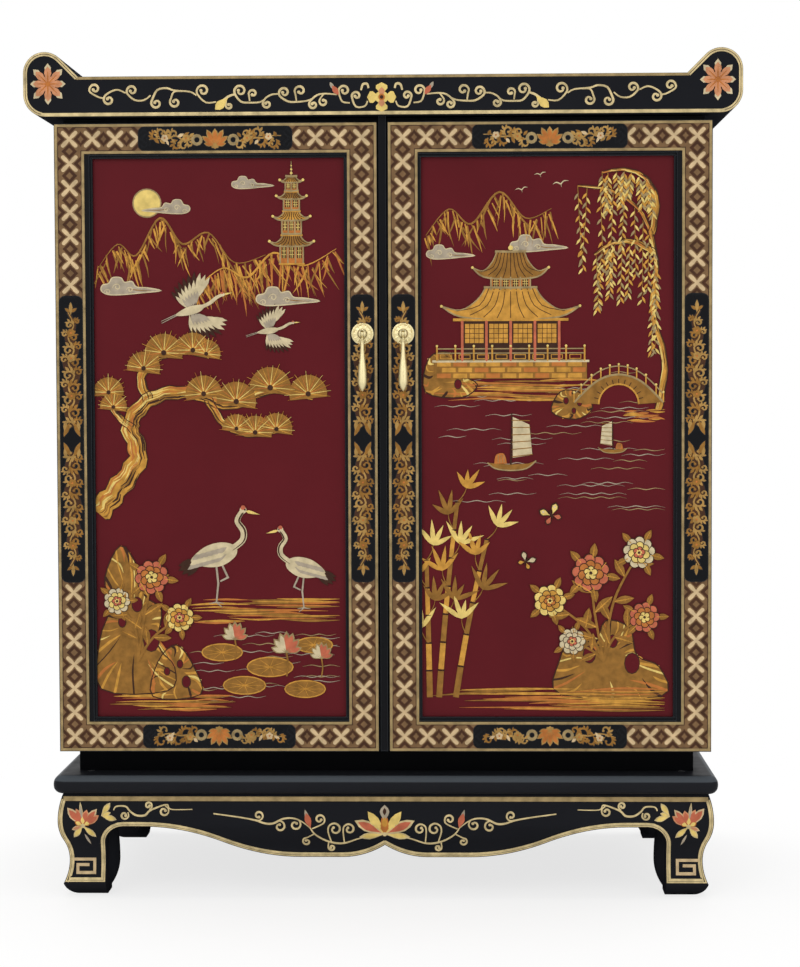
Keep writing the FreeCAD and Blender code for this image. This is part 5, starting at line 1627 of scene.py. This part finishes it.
def picture_spot(context, flip):
    """The lower left corner of a picture's field, and the face it is painted on."""
    bead = context.scene.cabinet_sizes.bead_width / MM
    outer, inner = span("left_door_outer_stile")[1].x, span("left_door_inner_stile")[0].x
    low = span("left_door_bottom_rail")[1].z
    left = -(inner - bead) if flip else outer + bead
    return left, low + bead, span("left_door_panel")[0].y


class CABINET_OT_paint_left_picture(bpy.types.Operator):
    """Paints the cranes and the pine on the left door"""

    bl_idname = "cabinet.paint_left_picture"
    bl_label = "Paint the left picture"

    def execute(self, context):
        left, low, face = picture_spot(context, False)
        work = Paintwork(on_front(face))
        paint_left_picture(work.at(left, low))
        work.build("left_picture", "left_door")
        return {"FINISHED"}


class CABINET_OT_paint_right_picture(bpy.types.Operator):
    """Paints the lakeside hall on the right door"""

    bl_idname = "cabinet.paint_right_picture"
    bl_label = "Paint the right picture"

    def execute(self, context):
        left, low, face = picture_spot(context, True)
        work = Paintwork(on_front(face))
        paint_right_picture(work.at(left, low))
        work.build("right_picture", "right_door")
        return {"FINISHED"}


class CABINET_OT_paint_cornice(bpy.types.Operator):
    """Paints the front of the top"""

    bl_idname = "cabinet.paint_cornice"
    bl_label = "Paint the cornice"

    def execute(self, context):
        work = Paintwork(on_front(span("top_front_band")[0].y))
        paint_cornice(work, context.scene.cabinet_sizes)
        work.build("cornice_ornament", "cabinet")
        return {"FINISHED"}


class CABINET_OT_paint_stand(bpy.types.Operator):
    """Paints the legs and the front apron"""

    bl_idname = "cabinet.paint_stand"
    bl_label = "Paint the stand"

    def execute(self, context):
        stand = StandFront()
        work = Paintwork(stand.place)
        paint_stand(work, stand, context.scene.cabinet_sizes)
        work.build("stand_ornament", "cabinet")
        return {"FINISHED"}


class CABINET_OT_chase_pulls(bpy.types.Operator):
    """Chases petals and a beaded rim into the rosettes of the pulls"""

    bl_idname = "cabinet.chase_pulls"
    bl_label = "Chase the pulls"

    def execute(self, context):
        for hand in ("left", "right"):
            low, high = span(hand + "_pull_rosette")
            radius, face = (high.x - low.x) / 2, low.y
            surface = spread([hand + "_pull_rosette"])

            def place(across, up, lift, surface=surface, face=face):
                hit = surface.ray_cast(Vector((across, face - 20, up)) * MM, Vector((0, 1, 0)))[0]
                return Vector((across, (hit.y / MM if hit else face) - lift, up)) * MM

            work = Paintwork(place).at((low.x + high.x) / 2, (low.z + high.z) / 2)
            for i in range(12):
                root = polar((0, 0), radius * 0.5, 30 * i)
                work.leaf("brass", root, 30 * i, radius * 0.34, radius * 0.2, 0.6, 0.5, 1.2)
            for i in range(24):
                work.dot("brass", polar((0, 0), radius * 0.92, 15 * i), radius * 0.055, 0.6, 0.9)
            work.build(hand + "_pull_chasing", hand + "_door")
        return {"FINISHED"}


class CABINET_OT_set_stage(bpy.types.Operator):
    """Sets the pale floor, the soft lights and the camera"""

    bl_idname = "cabinet.set_stage"
    bl_label = "Set the stage"

    def execute(self, context):
        scene = context.scene
        scene.view_settings.view_transform = "Standard"
        self.lay_floor(scene)
        self.light_world(scene)
        for name, spot, aim, size, power in (
            ("key_light", (-1.5, -2.7, 2.3), (0, 0, 0.5), 1.8, 27),
            ("fill_light", (1.9, -2.5, 1.5), (0, 0, 0.5), 2.2, 17),
            ("top_light", (0, 0.4, 2.7), (0, 0, 0.9), 1.8, 60),
        ):
            lamp = bpy.data.lights.new(name, "AREA")
            lamp.shape, lamp.size, lamp.energy = "SQUARE", size, power
            holder = bpy.data.objects.new(name, lamp)
            holder.location = spot
            holder.rotation_euler = (Vector(aim) - Vector(spot)).to_track_quat("-Z", "Y").to_euler()
            scene.collection.objects.link(holder)
        self.set_camera(scene)
        return {"FINISHED"}

    def seen_light(self, tree):
        """1 for rays that show the backdrop itself: to the camera, in gloss and through glass."""
        path = add_node(tree, "ShaderNodeLightPath")
        seen = path.outputs["Is Camera Ray"]
        for ray in ("Is Glossy Ray", "Is Transmission Ray"):
            either = add_node(tree, "ShaderNodeMath", {0: seen, 1: path.outputs[ray]}, operation="MAXIMUM")
            seen = either.outputs[0]
        return seen

    def light_world(self, scene):
        """A world of plain light that shows as white."""
        plain_level = 0.58
        world = bpy.data.worlds.new("studio_white")
        world.use_nodes = True
        tree = world.node_tree
        tree.nodes.clear()
        level = add_node(
            tree, "ShaderNodeMapRange", {"Value": self.seen_light(tree), 1: 0, 2: 1, 3: plain_level, 4: 1}
        )
        light = add_node(
            tree, "ShaderNodeBackground", {"Color": (1, 1, 1, 1), "Strength": level.outputs[0]}
        )
        add_node(tree, "ShaderNodeOutputWorld", {"Surface": light.outputs[0]})
        scene.world = world

    def lay_floor(self, scene):
        """A round floor that keeps the shadow near the cabinet and fades to white further out."""
        radius, corners, near, far, near_share, grain_size = 6.0, 96, 0.25, 0.8, 0.75, 60
        mesh = bpy.data.meshes.new("floor")
        rim = [(*polar((0, 0), radius, 360 * i / corners), 0) for i in range(corners)]
        mesh.from_pydata(rim, [], [tuple(range(corners))])
        material, tree, shader, where = blank("pale_studio_floor")
        grain = add_node(
            tree, "ShaderNodeTexNoise", {"Vector": where, "Scale": per_metre(grain_size), "Detail": 4}
        )
        tone = add_node(
            tree,
            "ShaderNodeMix",
            {0: grain.outputs["Fac"], 6: linear("#F6F5F3"), 7: linear("#F0EFED")},
            data_type="RGBA",
        )
        tree.links.new(tone.outputs[2], shader.inputs["Base Color"])
        shader.inputs["Roughness"].default_value = 0.8
        shader.inputs["Specular IOR Level"].default_value = 0.2
        reach = add_node(tree, "ShaderNodeVectorMath", {0: where}, operation="LENGTH")
        fade = add_node(
            tree,
            "ShaderNodeMapRange",
            {"Value": reach.outputs["Value"], 1: near, 2: far, 3: near_share, 4: 1},
            interpolation_type="SMOOTHSTEP",
        )
        share = add_node(
            tree, "ShaderNodeMath", {0: fade.outputs[0], 1: self.seen_light(tree)}, operation="MULTIPLY"
        )
        white = add_node(tree, "ShaderNodeEmission", {"Color": (1, 1, 1, 1), "Strength": 1.0})
        both = add_node(
            tree, "ShaderNodeMixShader", {0: share.outputs[0], 1: shader.outputs[0], 2: white.outputs[0]}
        )
        output = next(node for node in tree.nodes if node.type == "OUTPUT_MATERIAL")
        tree.links.new(both.outputs[0], output.inputs["Surface"])
        mesh.materials.append(material)
        floor = bpy.data.objects.new("floor", mesh)
        scene.collection.objects.link(floor)

    def set_camera(self, scene):
        """A long lens, a little right of the middle and above half height, as in the photograph."""
        lens = bpy.data.cameras.new("camera")
        lens.sensor_width, lens.lens = 36, 85.07
        camera = bpy.data.objects.new("camera", lens)
        spot = (0.0831, -2.644, 0.5641)
        turn, dip, roll = 0.0265, -0.046, -0.0035
        level = Matrix.Rotation(turn, 4, "Z") @ Matrix.Rotation(math.pi / 2 + dip, 4, "X")
        way = level @ Matrix.Rotation(roll, 4, "Z")
        camera.matrix_world = Matrix.Translation(spot) @ way
        scene.collection.objects.link(camera)
        scene.camera = camera


OPERATORS = (
    CABINET_OT_finish_pieces,
    CABINET_OT_paint_frames,
    CABINET_OT_paint_left_picture,
    CABINET_OT_paint_right_picture,
    CABINET_OT_paint_cornice,
    CABINET_OT_paint_stand,
    CABINET_OT_chase_pulls,
    CABINET_OT_set_stage,
)


class CABINET_PT_tools(bpy.types.Panel):
    """The cabinet's tools, sizes and colours"""

    bl_label = "Lacquered cabinet"
    bl_idname = "CABINET_PT_tools"
    bl_space_type = "VIEW_3D"
    bl_region_type = "UI"
    bl_category = "Cabinet"

    def draw(self, context):
        for operator in OPERATORS:
            self.layout.operator(operator.bl_idname)
        for group in (context.scene.cabinet_sizes, context.scene.cabinet_colours):
            for name in group.__annotations__:
                self.layout.prop(group, name)


CLASSES = (CabinetColours, CabinetSizes, *OPERATORS, CABINET_PT_tools)


def register():
    for kind in CLASSES:
        bpy.utils.register_class(kind)
    bpy.types.Scene.cabinet_colours = bpy.props.PointerProperty(type=CabinetColours)
    bpy.types.Scene.cabinet_sizes = bpy.props.PointerProperty(type=CabinetSizes)


def unregister():
    del bpy.types.Scene.cabinet_sizes
    del bpy.types.Scene.cabinet_colours
    for kind in reversed(CLASSES):
        bpy.utils.unregister_class(kind)


def main():
    register()
    bpy.ops.cabinet.finish_pieces()
    bpy.ops.cabinet.paint_frames()
    bpy.ops.cabinet.paint_left_picture()
    bpy.ops.cabinet.paint_right_picture()
    bpy.ops.cabinet.paint_cornice()
    bpy.ops.cabinet.paint_stand()
    bpy.ops.cabinet.chase_pulls()
    bpy.ops.cabinet.set_stage()
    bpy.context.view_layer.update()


if __name__ == "__main__":
    main()
